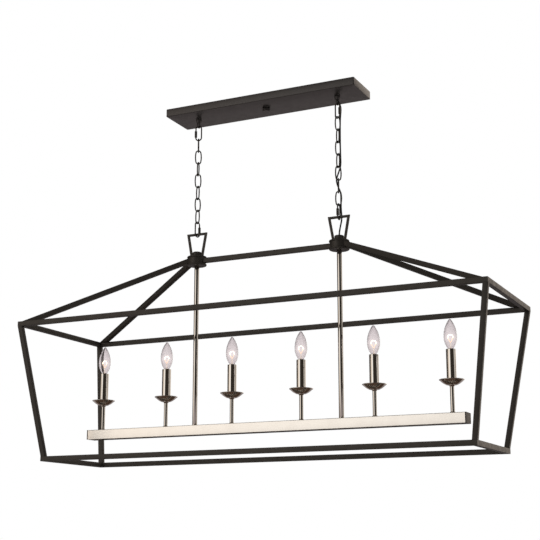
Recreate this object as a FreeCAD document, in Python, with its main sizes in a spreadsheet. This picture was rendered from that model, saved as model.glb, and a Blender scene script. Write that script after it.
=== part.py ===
import FreeCAD, Part
import math
import os
import Sketcher

# Linear island pendant: a rectangular ceiling canopy, two chains, and an open cage of square tube
# that holds a light bar with six candles. All sizes are in millimetres. The origin is on the ceiling
# plane at the middle of the mounting strap, +X runs along the cage and +Z points up.

SIZES = (
    ("canopy_length", 548.0, "canopy pan along the cage"),
    ("canopy_width", 118.0, "canopy pan across the cage"),
    ("canopy_height", 21.0, "ceiling to the pan's underside"),
    ("canopy_corner", 3.0, "rounding of the pan's upright corners"),
    ("sheet_wall", 1.2, "sheet metal of the canopy pan"),
    ("strap_length", 120.0, "mounting strap"),
    ("strap_width", 26.0, "mounting strap"),
    ("strap_thickness", 2.0, "mounting strap"),
    ("screw_spacing", 88.9, "outlet box screws, centre to centre"),
    ("slot_length", 12.0, "strap slot from end to end"),
    ("slot_width", 5.0, "strap slot"),
    ("stud_diameter", 9.6, "threaded nipples"),
    ("thread_gap", 0.05, "all round in a threaded or welded joint"),
    ("hole_gap", 0.3, "all round in a clearance hole"),
    ("running_gap", 0.08, "all round where a piece turns on another"),
    ("knob_diameter", 20.4, "canopy knob"),
    ("knob_height", 9.0, "canopy knob"),
    ("knob_engage", 6.0, "length of stud inside the knob"),
    ("knob_rounding", 1.2, "lower edge of the knob"),
    ("lock_nut_flats", 16.0, "hexagon nut across flats"),
    ("lock_nut_height", 4.0, "hexagon nut"),
    ("ground_screw_diameter", 4.8, "grounding screw shank"),
    ("ground_screw_head", 8.5, "grounding screw head across"),
    ("ground_screw_height", 3.0, "grounding screw head"),
    ("ground_screw_place", 22.0, "grounding screw from the strap's middle"),
    ("chain_spacing", 409.4, "between the two chains"),
    ("nipple_rise", 10.0, "loop nipple above the pan's underside"),
    ("collar_height", 10.0, "canopy loop collar"),
    ("collar_diameter", 15.5, "canopy loop collar at the pan"),
    ("collar_foot", 12.4, "canopy loop collar at the eye"),
    ("eye_radius", 6.6, "canopy loop eye, centre of its wire"),
    ("eye_wire", 4.0, "canopy loop eye wire"),
    ("eye_drop", 16.4, "pan's underside to the middle of the eye"),
    ("wire_way", 6.0, "bore of a canopy loop"),
    ("link_gap", 0.3, "between hooked links"),
    ("quick_wire", 3.6, "quick link wire"),
    ("quick_width", 15.8, "quick link between wire centres"),
    ("quick_reach", 40.8, "quick link length between wire centres"),
    ("gate_gap", 9.0, "gap in the quick link that its nut closes"),
    ("link_nut_flats", 6.2, "quick link nut across flats"),
    ("link_nut_length", 18.0, "quick link nut"),
    ("link_nut_drop", 2.4, "quick link nut below the link's middle"),
    ("chain_wire", 3.4, "chain link wire"),
    ("chain_width", 15.6, "chain link between wire centres"),
    ("chain_reach", 37.2, "chain link length between wire centres"),
    ("chain_tip", 6.6, "radius of a chain link's ends"),
    ("cord_diameter", 4.0, "supply cord"),
    ("hanger_bar", 6.0, "hanger loop's square bar"),
    ("hanger_top_width", 60.0, "hanger loop across its top corners"),
    ("hanger_foot_width", 37.2, "hanger loop across its feet"),
    ("hanger_seat", 1.8, "bar's middle below the middle of the link's lower arc"),
    ("hanger_edge", 0.9, "rounding of the hanger bar's edges"),
    ("hub_drop", 64.0, "top of the hanger loop to the top of the hub"),
    ("hub_height", 25.0, "hub drum"),
    ("hub_waist", 47.0, "hub drum between its flanges"),
    ("hub_flange", 52.0, "hub flange"),
    ("hub_flange_height", 4.6, "hub flange"),
    ("hub_rounding", 2.2, "outer edge of a hub flange"),
    ("hub_collar_diameter", 24.0, "collar on the hub"),
    ("hub_collar_height", 12.5, "collar on the hub"),
    ("hub_collar_rounding", 2.0, "top edge of the collar"),
    ("hub_bore", 8.0, "wire way through hub and collar"),
    ("rod_socket", 10.0, "depth of the rod's socket in the hub"),
    ("tube_side", 12.7, "square tube of the cage"),
    ("tube_wall", 1.2, "square tube wall"),
    ("upper_length", 1270.0, "upper frame"),
    ("upper_width", 388.0, "upper frame"),
    ("post_lean", 52.5, "lower frame inside the upper frame on every side"),
    ("cage_height", 364.0, "top of the upper frame to the bottom of the lower frame"),
    ("roof_height", 160.5, "middle of the hub to the top of the upper frame"),
    ("hip_inset_along", 27.0, "landing of a hip bar from the end of the upper frame"),
    ("hip_inset_across", 13.5, "landing of a hip bar from the side of the upper frame"),
    ("rod_diameter", 12.7, "polished rod"),
    ("rod_wall", 1.2, "polished rod wall"),
    ("bar_length", 1047.0, "light bar over its end caps"),
    ("bar_width", 38.0, "light bar"),
    ("bar_height", 25.0, "light bar"),
    ("bar_wall", 1.2, "light bar sheet"),
    ("bar_drop", 275.6, "top of the upper frame to the top of the light bar"),
    ("below_wall", 10.0, "rod or stem below the top of the light bar"),
    ("cap_thickness", 3.0, "end cap"),
    ("tongue_length", 28.0, "end cap tongue inside the bar"),
    ("tongue_thickness", 3.0, "end cap tongue"),
    ("cover_thickness", 1.2, "cover under the light bar"),
    ("cover_screw_place", 20.0, "cover screw from the end of the bar"),
    ("cover_screw_diameter", 3.0, "cover screw shank"),
    ("cover_screw_head", 6.4, "cover screw head"),
    ("cover_screw_height", 1.8, "cover screw head"),
    ("candle_pitch", 194.4, "from candle to candle"),
    ("stem_diameter", 10.0, "candle stem"),
    ("stem_bore", 6.6, "candle stem"),
    ("stem_rise", 66.6, "top of the bar to the bobeche's seat"),
    ("stem_foot", 14.0, "flange of the stem on the bar"),
    ("stem_foot_height", 3.0, "flange of the stem on the bar"),
    ("stem_neck", 15.0, "flange of the stem under the bobeche"),
    ("stem_neck_height", 3.0, "flange of the stem under the bobeche"),
    ("stem_top", 8.0, "stem above the bobeche's seat"),
    ("bobeche_diameter", 60.0, "bobeche rim"),
    ("bobeche_depth", 13.0, "seat to rim"),
    ("bobeche_floor", 26.0, "flat floor of the bobeche"),
    ("bobeche_curve", 46.0, "radius of the bobeche's side"),
    ("bobeche_wall", 1.2, "bobeche sheet"),
    ("sleeve_diameter", 23.0, "candle sleeve"),
    ("sleeve_wall", 1.0, "candle sleeve"),
    ("sleeve_height", 83.8, "candle sleeve"),
    ("socket_leg", 13.6, "socket's lower body"),
    ("socket_cup", 19.0, "socket's cup"),
    ("socket_cup_height", 34.0, "socket's cup"),
    ("socket_depth", 24.5, "bore of the socket's cup"),
    ("socket_sink", 1.5, "socket below the top of the sleeve"),
    ("socket_wire_bore", 4.0, "wire way through the socket"),
    ("base_diameter", 11.8, "bulb screw shell"),
    ("base_length", 20.0, "bulb screw shell"),
    ("base_gap", 0.25, "all round between shell and socket"),
    ("base_flare", 14.0, "flare of the shell under the glass"),
    ("base_rise", 1.0, "top of the shell above the sleeve"),
    ("contact_diameter", 5.0, "centre contact of the bulb"),
    ("contact_height", 1.6, "centre contact of the bulb"),
    ("glass_diameter", 31.8, "bulb glass"),
    ("glass_neck", 12.6, "bulb glass at the shell"),
    ("glass_height", 72.0, "bulb glass from the shell to the tip"),
    ("glass_belly", 29.0, "widest place of the glass above the shell"),
    ("glass_nose", 3.5, "radius of the glass's rounded tip"),
    ("glass_wall", 0.8, "bulb glass"),
    ("filament_wire", 1.0, "filament"),
    ("filament_spread", 11.2, "filament legs at their tops"),
    ("filament_bend", 25.0, "tops of the filament's legs above the shell"),
    ("mount_diameter", 4.4, "glass mount inside the bulb"),
    ("mount_height", 16.0, "glass mount inside the bulb"),
    ("harness_diameter", 4.4, "bundle of wires in the bar"),
    ("lead_diameter", 2.8, "pair of leads up a stem"),
)

# Places that follow from the sizes, as formulas in a second sheet.
PLACES = (
    ("chain_side", "Sizes.chain_spacing / 2"),
    ("eye_middle", "-Sizes.canopy_height - Sizes.eye_drop"),
    ("hook_wires", "(Sizes.eye_wire + Sizes.quick_wire) / 2"),
    ("top_link_top", "eye_middle - Sizes.eye_radius + hook_wires + Sizes.link_gap"),
    ("top_link_middle", "top_link_top - Sizes.quick_reach / 2"),
    ("hook_step", "(Sizes.quick_wire + Sizes.chain_wire) / 2 + Sizes.link_gap"),
    ("chain_top", "top_link_top - Sizes.quick_reach + hook_step"),
    ("chain_pitch", "Sizes.chain_reach - Sizes.chain_wire - Sizes.link_gap"),
    ("chain_bottom", "chain_top - 6 * chain_pitch - Sizes.chain_reach"),
    ("bottom_link_top", "chain_bottom + hook_step"),
    ("bottom_link_middle", "bottom_link_top - Sizes.quick_reach / 2"),
    ("hanger_middle", "bottom_link_top - Sizes.quick_reach + Sizes.quick_width / 2 - Sizes.hanger_seat"),
    ("hanger_top", "hanger_middle + Sizes.hanger_bar / 2"),
    ("hub_top", "hanger_top - Sizes.hub_drop"),
    ("hub_bottom", "hub_top - Sizes.hub_height"),
    ("hub_middle", "hub_top - Sizes.hub_height / 2"),
    ("rail_top", "hub_middle - Sizes.roof_height"),
    ("post_top", "rail_top - Sizes.tube_side"),
    ("cage_bottom", "rail_top - Sizes.cage_height"),
    ("lower_rail_top", "cage_bottom + Sizes.tube_side"),
    ("lower_length", "Sizes.upper_length - 2 * Sizes.post_lean"),
    ("lower_width", "Sizes.upper_width - 2 * Sizes.post_lean"),
    ("bar_top", "rail_top - Sizes.bar_drop"),
    ("bar_bottom", "bar_top - Sizes.bar_height"),
    ("tube_length", "Sizes.bar_length - 2 * Sizes.cap_thickness"),
    ("bar_inner_width", "Sizes.bar_width - 2 * Sizes.bar_wall"),
    ("cover_top", "bar_bottom + Sizes.cover_thickness"),
    ("harness_middle", "bar_top - Sizes.below_wall - Sizes.harness_diameter / 2"),
    ("seat", "bar_top + Sizes.stem_rise"),
    ("floor_top", "seat + Sizes.bobeche_wall"),
    ("sleeve_top", "floor_top + Sizes.sleeve_height"),
    ("socket_top", "sleeve_top - Sizes.socket_sink"),
    ("socket_height", "socket_top - floor_top"),
    ("shell_top", "sleeve_top + Sizes.base_rise"),
    ("flare_height", "shell_top - socket_top - Sizes.hole_gap"),
    ("glass_radius", "Sizes.glass_diameter / 2"),
    ("tip_rise", "Sizes.glass_height - Sizes.glass_belly"),
    ("nose_step", "glass_radius - Sizes.glass_nose"),
    ("nose_line", "pow(tip_rise; 2) - 2 * tip_rise * Sizes.glass_nose"),
    ("ogive", "(pow(glass_radius; 2) + nose_line) / (2 * nose_step)"),
    ("nose_across", "(ogive - glass_radius) / (ogive - Sizes.glass_nose)"),
    ("nose_up", "(tip_rise - Sizes.glass_nose) / (ogive - Sizes.glass_nose)"),
    ("nose_middle", "Sizes.glass_height - Sizes.glass_nose"),
    ("neck_step", "glass_radius - Sizes.glass_neck / 2"),
    ("shoulder", "(neck_step * neck_step + Sizes.glass_belly * Sizes.glass_belly) / (2 * neck_step)"),
    ("inner_shoulder", "shoulder - Sizes.glass_wall"),
    ("inner_neck", "Sizes.glass_belly - sqrt(pow(inner_shoulder; 2) - pow(inner_shoulder - neck_step; 2))"),
)

CHAIN_LINKS = 7
CANDLES = 6
SIDES = (("left", -1), ("right", 1))
UPPER_FRAME = ("Sizes.upper_length", "Sizes.upper_width")
LOWER_FRAME = ("Places.lower_length", "Places.lower_width")
# Turn of each link about its chain's own axis, in degrees from the X axis, from the top down.
TOP_LINK_TURN = {"left": 192.0, "right": -24.0}
CHAIN_TURNS = {
    "left": (-64.4, 30.6, -44.4, 39.6, -34.4, 57.6, -24.4),
    "right": (61.6, -43.4, 60.6, -39.9, 47.6, 115.6, 3.6),
}
BOTTOM_LINK_TURN = {"left": 74.6, "right": -89.4}
# Route of the supply cord: across the right chain's axis in X and in Y, and height.
CORD_ROUTE = (
    (0.0, 0.0, -12.0),
    (0.0, 0.0, -21.5),
    (0.3, -0.6, -31.4),
    (5.4, 3.9, -41.8),
    (8.2, 5.0, -55.3),
    (6.4, 2.0, -82.0),
    (6.2, 0.9, -112.0),
    (6.0, 0.8, -146.0),
    (6.2, 1.1, -180.0),
    (7.4, 0.4, -210.8),
    (0.0, 0.6, -229.3),
    (-5.3, 1.0, -242.4),
    (-5.8, 1.5, -252.1),
    (-1.7, 2.8, -266.2),
    (4.2, 5.6, -281.0),
    (5.2, 5.4, -300.0),
    (5.9, 5.7, -322.0),
    (6.3, 6.6, -343.0),
    (5.6, 6.3, -354.0),
    (1.4, 1.8, -377.0),
    (0.0, 0.0, -393.0),
    (0.0, 0.2, -420.0),
    (0.0, -0.2, -470.0),
    (0.2, 0.1, -520.0),
    (0.0, 0.2, -570.0),
    (0.1, -0.2, -620.0),
    (0.0, 0.2, -670.0),
    (0.2, -0.1, -720.0),
    (0.0, 0.1, -770.0),
    (0.1, -0.1, -818.0),
    (0.0, 0.0, -864.0),
)

doc = FreeCAD.newDocument("IslandPendant")
NODES = []


def fill_sheets():
    """The driving sizes as plain numbers, and the places as formulas on them."""
    sizes = doc.addObject("Spreadsheet::Sheet", "Sizes")
    for row, (alias, number_value, meaning) in enumerate(SIZES, start=1):
        sizes.set("A%d" % row, meaning)
        sizes.set("B%d" % row, str(number_value))
        sizes.setAlias("B%d" % row, alias)
    places = doc.addObject("Spreadsheet::Sheet", "Places")
    for row, (alias, formula) in enumerate(PLACES, start=1):
        places.set("B%d" % row, "=" + formula)
        places.setAlias("B%d" % row, alias)
    doc.recompute()
    return sizes


sheet = fill_sheets()


def number(expression):
    """The value of an expression on the two sheets."""
    return float(sheet.evalExpression(str(expression)))


def keep(piece, label):
    """A finished sub-part, exported under its label."""
    piece.Label = label
    NODES.append(piece)
    return piece


def locate(piece, x="0", y="0", z="0", axis=(0, 0, 1), turn=0.0):
    """Turn a piece about an axis, and bind its place to the sheets."""
    rotation = FreeCAD.Rotation(FreeCAD.Vector(*axis), turn)
    piece.Placement = FreeCAD.Placement(FreeCAD.Vector(), rotation)
    for letter, expression in (("x", x), ("y", y), ("z", z)):
        if expression != "0":
            piece.setExpression("Placement.Base." + letter, expression)
    return piece


def new_body(name):
    return doc.addObject("PartDesign::Body", name)


def new_sketch(body, role, offset=None):
    """A sketch on one of the body's own origin planes."""
    sketch = body.newObject("Sketcher::SketchObject", "sketch")
    plane = [entry for entry in body.Origin.OriginFeatures if entry.Role == role][0]
    sketch.AttachmentSupport = (plane, "")
    sketch.MapMode = "FlatFace"
    if offset is not None:
        sketch.setExpression("AttachmentOffset.Base.z", offset)
    return sketch


def bind(sketch, kind, geometry, point, expression):
    """Hold one coordinate of a sketch point at an expression."""
    if expression == "0":
        line = -2 if kind == "DistanceX" else -1
        sketch.addConstraint(Sketcher.Constraint("PointOnObject", geometry, point, line))
        return
    value = number(expression)
    index = sketch.addConstraint(Sketcher.Constraint(kind, -1, 1, geometry, point, value))
    sketch.setExpression("Constraints[%d]" % index, expression)


def arc_between(start, end, radius, left):
    """Arc from start to end, with its centre left or right of the way there."""
    middle = (start + end) * 0.5
    chord = end - start
    rise = math.sqrt(max(radius ** 2 - (chord.Length / 2) ** 2, 0.0))
    side = FreeCAD.Vector(-chord.y, chord.x, 0).normalize()
    centre = middle + side * (rise if left else -rise)
    first, last = (start, end) if left else (end, start)
    angles = [math.atan2(p.y - centre.y, p.x - centre.x) for p in (first, last)]
    circle = Part.Circle(centre, FreeCAD.Vector(0, 0, 1), radius)
    return Part.ArcOfCircle(circle, angles[0], angles[1])


def outline(sketch, corners, arcs=None):
    """Closed outline through corners; arcs gives a side's number its radius and turn."""
    arcs = arcs or {}
    points = [FreeCAD.Vector(number(x), number(y), 0) for x, y in corners]
    first = sketch.GeometryCount
    ends = []
    for side, start in enumerate(points):
        end = points[(side + 1) % len(points)]
        if side in arcs:
            radius, left = arcs[side]
            sketch.addGeometry(arc_between(start, end, number(radius), left))
            ends.append((1, 2) if left else (2, 1))
        else:
            sketch.addGeometry(Part.LineSegment(start, end))
            ends.append((1, 2))
    for side in range(len(points)):
        following = (side + 1) % len(points)
        join = (first + side, ends[side][1], first + following, ends[following][0])
        sketch.addConstraint(Sketcher.Constraint("Coincident", *join))
    for side, (x, y) in enumerate(corners):
        bind(sketch, "DistanceX", first + side, ends[side][0], x)
        bind(sketch, "DistanceY", first + side, ends[side][0], y)
    for side, (radius, _left) in arcs.items():
        index = sketch.addConstraint(Sketcher.Constraint("Radius", first + side, number(radius)))
        sketch.setExpression("Constraints[%d]" % index, radius)


def circle(sketch, radius, x="0", y="0"):
    """Circle with a bound centre and radius."""
    centre = FreeCAD.Vector(number(x), number(y), 0)
    drawn = sketch.addGeometry(Part.Circle(centre, FreeCAD.Vector(0, 0, 1), number(radius)))
    bind(sketch, "DistanceX", drawn, 3, x)
    bind(sketch, "DistanceY", drawn, 3, y)
    index = sketch.addConstraint(Sketcher.Constraint("Radius", drawn, number(radius)))
    sketch.setExpression("Constraints[%d]" % index, radius)


def rectangle(sketch, left, bottom, right, top):
    outline(sketch, ((left, bottom), (right, bottom), (right, top), (left, top)))


def hexagon(sketch, flats):
    """Hexagon about the sketch's middle, flats across along its y axis."""
    half = "(%s) / 2" % flats
    corner = "(%s) / sqrt(3)" % flats
    side = "(%s) / sqrt(12)" % flats
    outline(sketch, (
        (corner, "0"), (side, half), ("-" + side, half),
        ("-" + corner, "0"), ("-" + side, "-" + half), (side, "-" + half),
    ))


def pad(body, sketch, length, symmetric=False, reverse=False):
    feature = body.newObject("PartDesign::Pad", "pad")
    feature.Profile = sketch
    feature.setExpression("Length", length)
    feature.SideType = "Symmetric" if symmetric else "One side"
    feature.Reversed = reverse
    return feature


def pocket_through(body, sketch):
    """Cut right through the body, both ways from the sketch."""
    feature = body.newObject("PartDesign::Pocket", "pocket")
    feature.Profile = sketch
    feature.Type = "ThroughAll"
    feature.SideType = "Symmetric"
    return feature


def pocket_deep(body, sketch, depth, reverse=False):
    feature = body.newObject("PartDesign::Pocket", "pocket")
    feature.Profile = sketch
    feature.setExpression("Length", depth)
    feature.Reversed = reverse
    return feature


def lathe(body, corners, arcs=None):
    """Solid of revolution about the body's Z axis, from radii and heights."""
    sketch = new_sketch(body, "XZ_Plane")
    outline(sketch, corners, arcs)
    feature = body.newObject("PartDesign::Revolution", "revolution")
    feature.Profile = sketch
    feature.ReferenceAxis = (sketch, ["V_Axis"])
    feature.Angle = 360
    return feature


def round_edges(body, feature, radius, choose):
    """Fillet the edges of a feature that a test picks."""
    doc.recompute()
    names = ["Edge%d" % (i + 1) for i, edge in enumerate(feature.Shape.Edges) if choose(edge)]
    fillet = body.newObject("PartDesign::Fillet", "fillet")
    fillet.Base = (feature, names)
    fillet.setExpression("Radius", radius)
    return fillet


def ring_at(radius, height):
    """Test for a full circle of a radius at a height in the body's own frame."""
    wanted = number(radius)
    level = number(height)

    def test(edge):
        curve = edge.Curve
        if not isinstance(curve, Part.Circle):
            return False
        return abs(curve.Radius - wanted) < 0.01 and abs(edge.CenterOfMass.z - level) < 0.01
    return test


def group(label, copies):
    """Separate solids under one name."""
    compound = doc.addObject("Part::Compound", label)
    compound.Links = copies
    return keep(compound, label)


def copy_of(template, name, x="0", y="0", z="0", turn=0.0):
    link = doc.addObject("App::Link", name)
    link.LinkedObject = template
    return locate(link, x, y, z, turn=turn)


def candle_x(index):
    return "%.1f * Sizes.candle_pitch" % (index - (CANDLES - 1) / 2)


def side_x(sign):
    return "Places.chain_side" if sign > 0 else "-Places.chain_side"


def hexagon_nut(name, flats, bore, height):
    """Template of a hexagon nut, its lower face on the body's XY plane."""
    body = new_body(name)
    sketch = new_sketch(body, "XY_Plane")
    hexagon(sketch, flats)
    circle(sketch, bore)
    pad(body, sketch, height)
    return body


def make_mounting_strap():
    """Steel strap that screws to the outlet box, with its slots, stud hole and ground hole."""
    body = new_body("mounting_strap")
    blank = new_sketch(body, "XY_Plane")
    half = "Sizes.strap_length / 2"
    wide = "Sizes.strap_width / 2"
    rectangle(blank, "-" + half, "-" + wide, half, wide)
    pad(body, blank, "Sizes.strap_thickness", reverse=True)
    holes = new_sketch(body, "XY_Plane")
    circle(holes, "Sizes.stud_diameter / 2 + Sizes.thread_gap")
    circle(holes, "Sizes.ground_screw_diameter / 2 + Sizes.thread_gap", "Sizes.ground_screw_place")
    pocket_through(body, holes)
    flat = "(Sizes.slot_length - Sizes.slot_width) / 2"
    radius = "Sizes.slot_width / 2"
    slots = new_sketch(body, "XY_Plane")
    for sign in ("", "-"):
        middle = sign + "Sizes.screw_spacing / 2"
        rectangle(slots, middle + " - " + flat, "-" + radius, middle + " + " + flat, radius)
    pocket_through(body, slots)
    ends = new_sketch(body, "XY_Plane")
    for sign in ("", "-"):
        for way in (" - ", " + "):
            circle(ends, radius, sign + "Sizes.screw_spacing / 2" + way + flat)
    pocket_through(body, ends)
    keep(body, "mounting_strap")


def make_canopy_stud():
    """Threaded nipple from the strap through the pan into the knob."""
    stud = doc.addObject("Part::Cylinder", "canopy_stud")
    stud.setExpression("Radius", "Sizes.stud_diameter / 2")
    stud.setExpression("Height", "Sizes.canopy_height + Sizes.knob_engage")
    locate(stud, z="-Sizes.canopy_height - Sizes.knob_engage")
    keep(stud, "canopy_stud")


def make_ground_screw():
    body = new_body("ground_screw")
    head = "Sizes.ground_screw_head / 2"
    shank = "Sizes.ground_screw_diameter / 2"
    under = "-Sizes.strap_thickness"
    lathe(body, (
        ("0", "0"), (shank, "0"), (shank, under), (head, under),
        (head, under + " - Sizes.ground_screw_height"), ("0", under + " - Sizes.ground_screw_height"),
    ))
    locate(body, x="Sizes.ground_screw_place")
    keep(body, "ground_screw")


def make_canopy_pan():
    """Open-topped pan, with holes for the stud and the two chain loops."""
    body = new_body("canopy_pan")
    half = "Sizes.canopy_length / 2"
    wide = "Sizes.canopy_width / 2"
    blank = new_sketch(body, "XY_Plane")
    rectangle(blank, "-" + half, "-" + wide, half, wide)
    block = pad(body, blank, "Sizes.canopy_height", reverse=True)
    doc.recompute()
    rounded = round_edges(body, block, "Sizes.canopy_corner", is_upright)
    doc.recompute()
    rim = new_sketch(body, "XY_Plane")
    inner_half = half + " - Sizes.sheet_wall"
    inner_wide = wide + " - Sizes.sheet_wall"
    rectangle(rim, "-(%s)" % inner_half, "-(%s)" % inner_wide, inner_half, inner_wide)
    hollow = pocket_deep(body, rim, "Sizes.canopy_height - Sizes.sheet_wall")
    doc.recompute()
    if hollow.Shape.Volume >= rounded.Shape.Volume:
        hollow.Reversed = True
    holes = new_sketch(body, "XY_Plane")
    circle(holes, "Sizes.stud_diameter / 2 + Sizes.hole_gap")
    for _side, sign in SIDES:
        circle(holes, "Sizes.stud_diameter / 2 + Sizes.hole_gap", side_x(sign))
    pocket_through(body, holes)
    keep(body, "canopy_pan")


def is_upright(edge):
    """Test for a straight edge along Z."""
    if not isinstance(edge.Curve, Part.Line):
        return False
    return abs(edge.Curve.Direction.z) > 0.99


def make_canopy_knob():
    """Knob that clamps the pan, turning on the stud."""
    body = new_body("canopy_knob")
    outer = "Sizes.knob_diameter / 2"
    bore = "Sizes.stud_diameter / 2 + Sizes.running_gap"
    depth = "-Sizes.knob_engage - Sizes.hole_gap"
    turned = lathe(body, (
        (bore, "0"), (outer, "0"), (outer, "-Sizes.knob_height"),
        ("0", "-Sizes.knob_height"), ("0", depth), (bore, depth),
    ))
    round_edges(body, turned, "Sizes.knob_rounding", ring_at(outer, "-Sizes.knob_height"))
    locate(body, z="-Sizes.canopy_height")
    keep(body, "canopy_knob")


def make_canopy_lock_nuts():
    """Nuts inside the pan: one on each loop's nipple, and one on the stud under the strap."""
    bore = "Sizes.stud_diameter / 2 + Sizes.thread_gap"
    nut = hexagon_nut("canopy_lock_nut", "Sizes.lock_nut_flats", bore, "Sizes.lock_nut_height")
    on_pan = "Sizes.sheet_wall - Sizes.canopy_height"
    under_strap = "-Sizes.strap_thickness - Sizes.lock_nut_height"
    copies = [copy_of(nut, "nut_" + side, side_x(sign), "0", on_pan) for side, sign in SIDES]
    copies.append(copy_of(nut, "nut_stud", z=under_strap))
    group("canopy_lock_nuts", copies)


def make_chain_loop(side, sign):
    """Hollow threaded nipple with its collar and the eye that the top link hangs in."""
    turned = new_body("chain_loop_turned_" + side)
    thread = "Sizes.stud_diameter / 2"
    lathe(turned, (
        ("0", "Sizes.nipple_rise"), (thread, "Sizes.nipple_rise"), (thread, "0"),
        ("Sizes.collar_diameter / 2", "0"), ("Sizes.collar_foot / 2", "-Sizes.collar_height"),
        ("0", "-Sizes.collar_height"),
    ))
    locate(turned, side_x(sign), "0", "-Sizes.canopy_height")
    eye = doc.addObject("Part::Torus", "chain_loop_eye_" + side)
    eye.setExpression("Radius1", "Sizes.eye_radius")
    eye.setExpression("Radius2", "Sizes.eye_wire / 2")
    locate(eye, side_x(sign), "0", "Places.eye_middle", axis=(0, 1, 0), turn=90)
    joined = doc.addObject("Part::Fuse", "chain_loop_solid_" + side)
    joined.Base = turned
    joined.Tool = eye
    bore = doc.addObject("Part::Cylinder", "chain_loop_bore_" + side)
    bore.setExpression("Radius", "Sizes.wire_way / 2")
    bore.setExpression("Height", "Sizes.nipple_rise - Places.eye_middle - Sizes.canopy_height + 1")
    locate(bore, side_x(sign), "0", "Places.eye_middle")
    loop = doc.addObject("Part::Cut", "chain_loop_" + side)
    loop.Base = joined
    loop.Tool = bore
    keep(loop, "chain_loop_" + side)


def make_quick_link(label, nut_label, side, middle, turn):
    """Wire link, open at its gate, and the long nut that closes the gate."""
    body = new_body(label)
    spine = new_sketch(body, "XZ_Plane")
    radius = number("Sizes.quick_width / 2")
    straight = number("(Sizes.quick_reach - Sizes.quick_width) / 2")
    gate_top = number("Sizes.gate_gap / 2 - Sizes.link_nut_drop")
    gate_bottom = number("-Sizes.gate_gap / 2 - Sizes.link_nut_drop")
    up = FreeCAD.Vector(0, 0, 1)
    sketch_corners = (
        (radius, gate_top), (radius, straight), (-radius, straight),
        (-radius, -straight), (radius, -straight), (radius, gate_bottom),
    )
    points = [FreeCAD.Vector(x, y, 0) for x, y in sketch_corners]
    spine.addGeometry(Part.LineSegment(points[0], points[1]))
    spine.addGeometry(Part.ArcOfCircle(Part.Circle(FreeCAD.Vector(0, straight, 0), up, radius), 0, math.pi))
    spine.addGeometry(Part.LineSegment(points[2], points[3]))
    lower = Part.Circle(FreeCAD.Vector(0, -straight, 0), up, radius)
    spine.addGeometry(Part.ArcOfCircle(lower, math.pi, 2 * math.pi))
    spine.addGeometry(Part.LineSegment(points[4], points[5]))
    for geometry in range(4):
        spine.addConstraint(Sketcher.Constraint("Tangent", geometry, 2, geometry + 1, 1))
    side_line = "Sizes.quick_width / 2"
    half_straight = "(Sizes.quick_reach - Sizes.quick_width) / 2"
    bind(spine, "DistanceX", 0, 1, side_line)
    bind(spine, "DistanceY", 0, 1, "Sizes.gate_gap / 2 - Sizes.link_nut_drop")
    bind(spine, "DistanceX", 0, 2, side_line)
    bind(spine, "DistanceY", 0, 2, half_straight)
    bind(spine, "DistanceX", 2, 1, "-" + side_line)
    bind(spine, "DistanceY", 2, 1, half_straight)
    bind(spine, "DistanceY", 2, 2, "-" + half_straight)
    bind(spine, "DistanceX", 4, 2, side_line)
    bind(spine, "DistanceY", 4, 1, "-" + half_straight)
    bind(spine, "DistanceY", 4, 2, "-Sizes.gate_gap / 2 - Sizes.link_nut_drop")
    section = new_sketch(body, "XY_Plane", "Sizes.gate_gap / 2 - Sizes.link_nut_drop")
    circle(section, "Sizes.quick_wire / 2", side_line)
    pipe = body.newObject("PartDesign::AdditivePipe", "wire")
    pipe.Profile = section
    pipe.Spine = (spine, [])
    sign = dict(SIDES)[side]
    locate(body, side_x(sign), "0", middle, turn=turn)
    keep(body, label)
    nut = new_body(nut_label)
    hollow = new_sketch(nut, "XY_Plane", "-Sizes.link_nut_drop")
    hexagon(hollow, "Sizes.link_nut_flats")
    circle(hollow, "Sizes.quick_wire / 2 + Sizes.running_gap")
    pad(nut, hollow, "Sizes.link_nut_length", symmetric=True)
    reach_x = "Sizes.quick_width / 2 * cos(%s)" % turn
    reach_y = "Sizes.quick_width / 2 * sin(%s)" % turn
    locate(nut, side_x(sign) + " + " + reach_x, reach_y, middle, turn=turn)
    keep(nut, nut_label)


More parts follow.
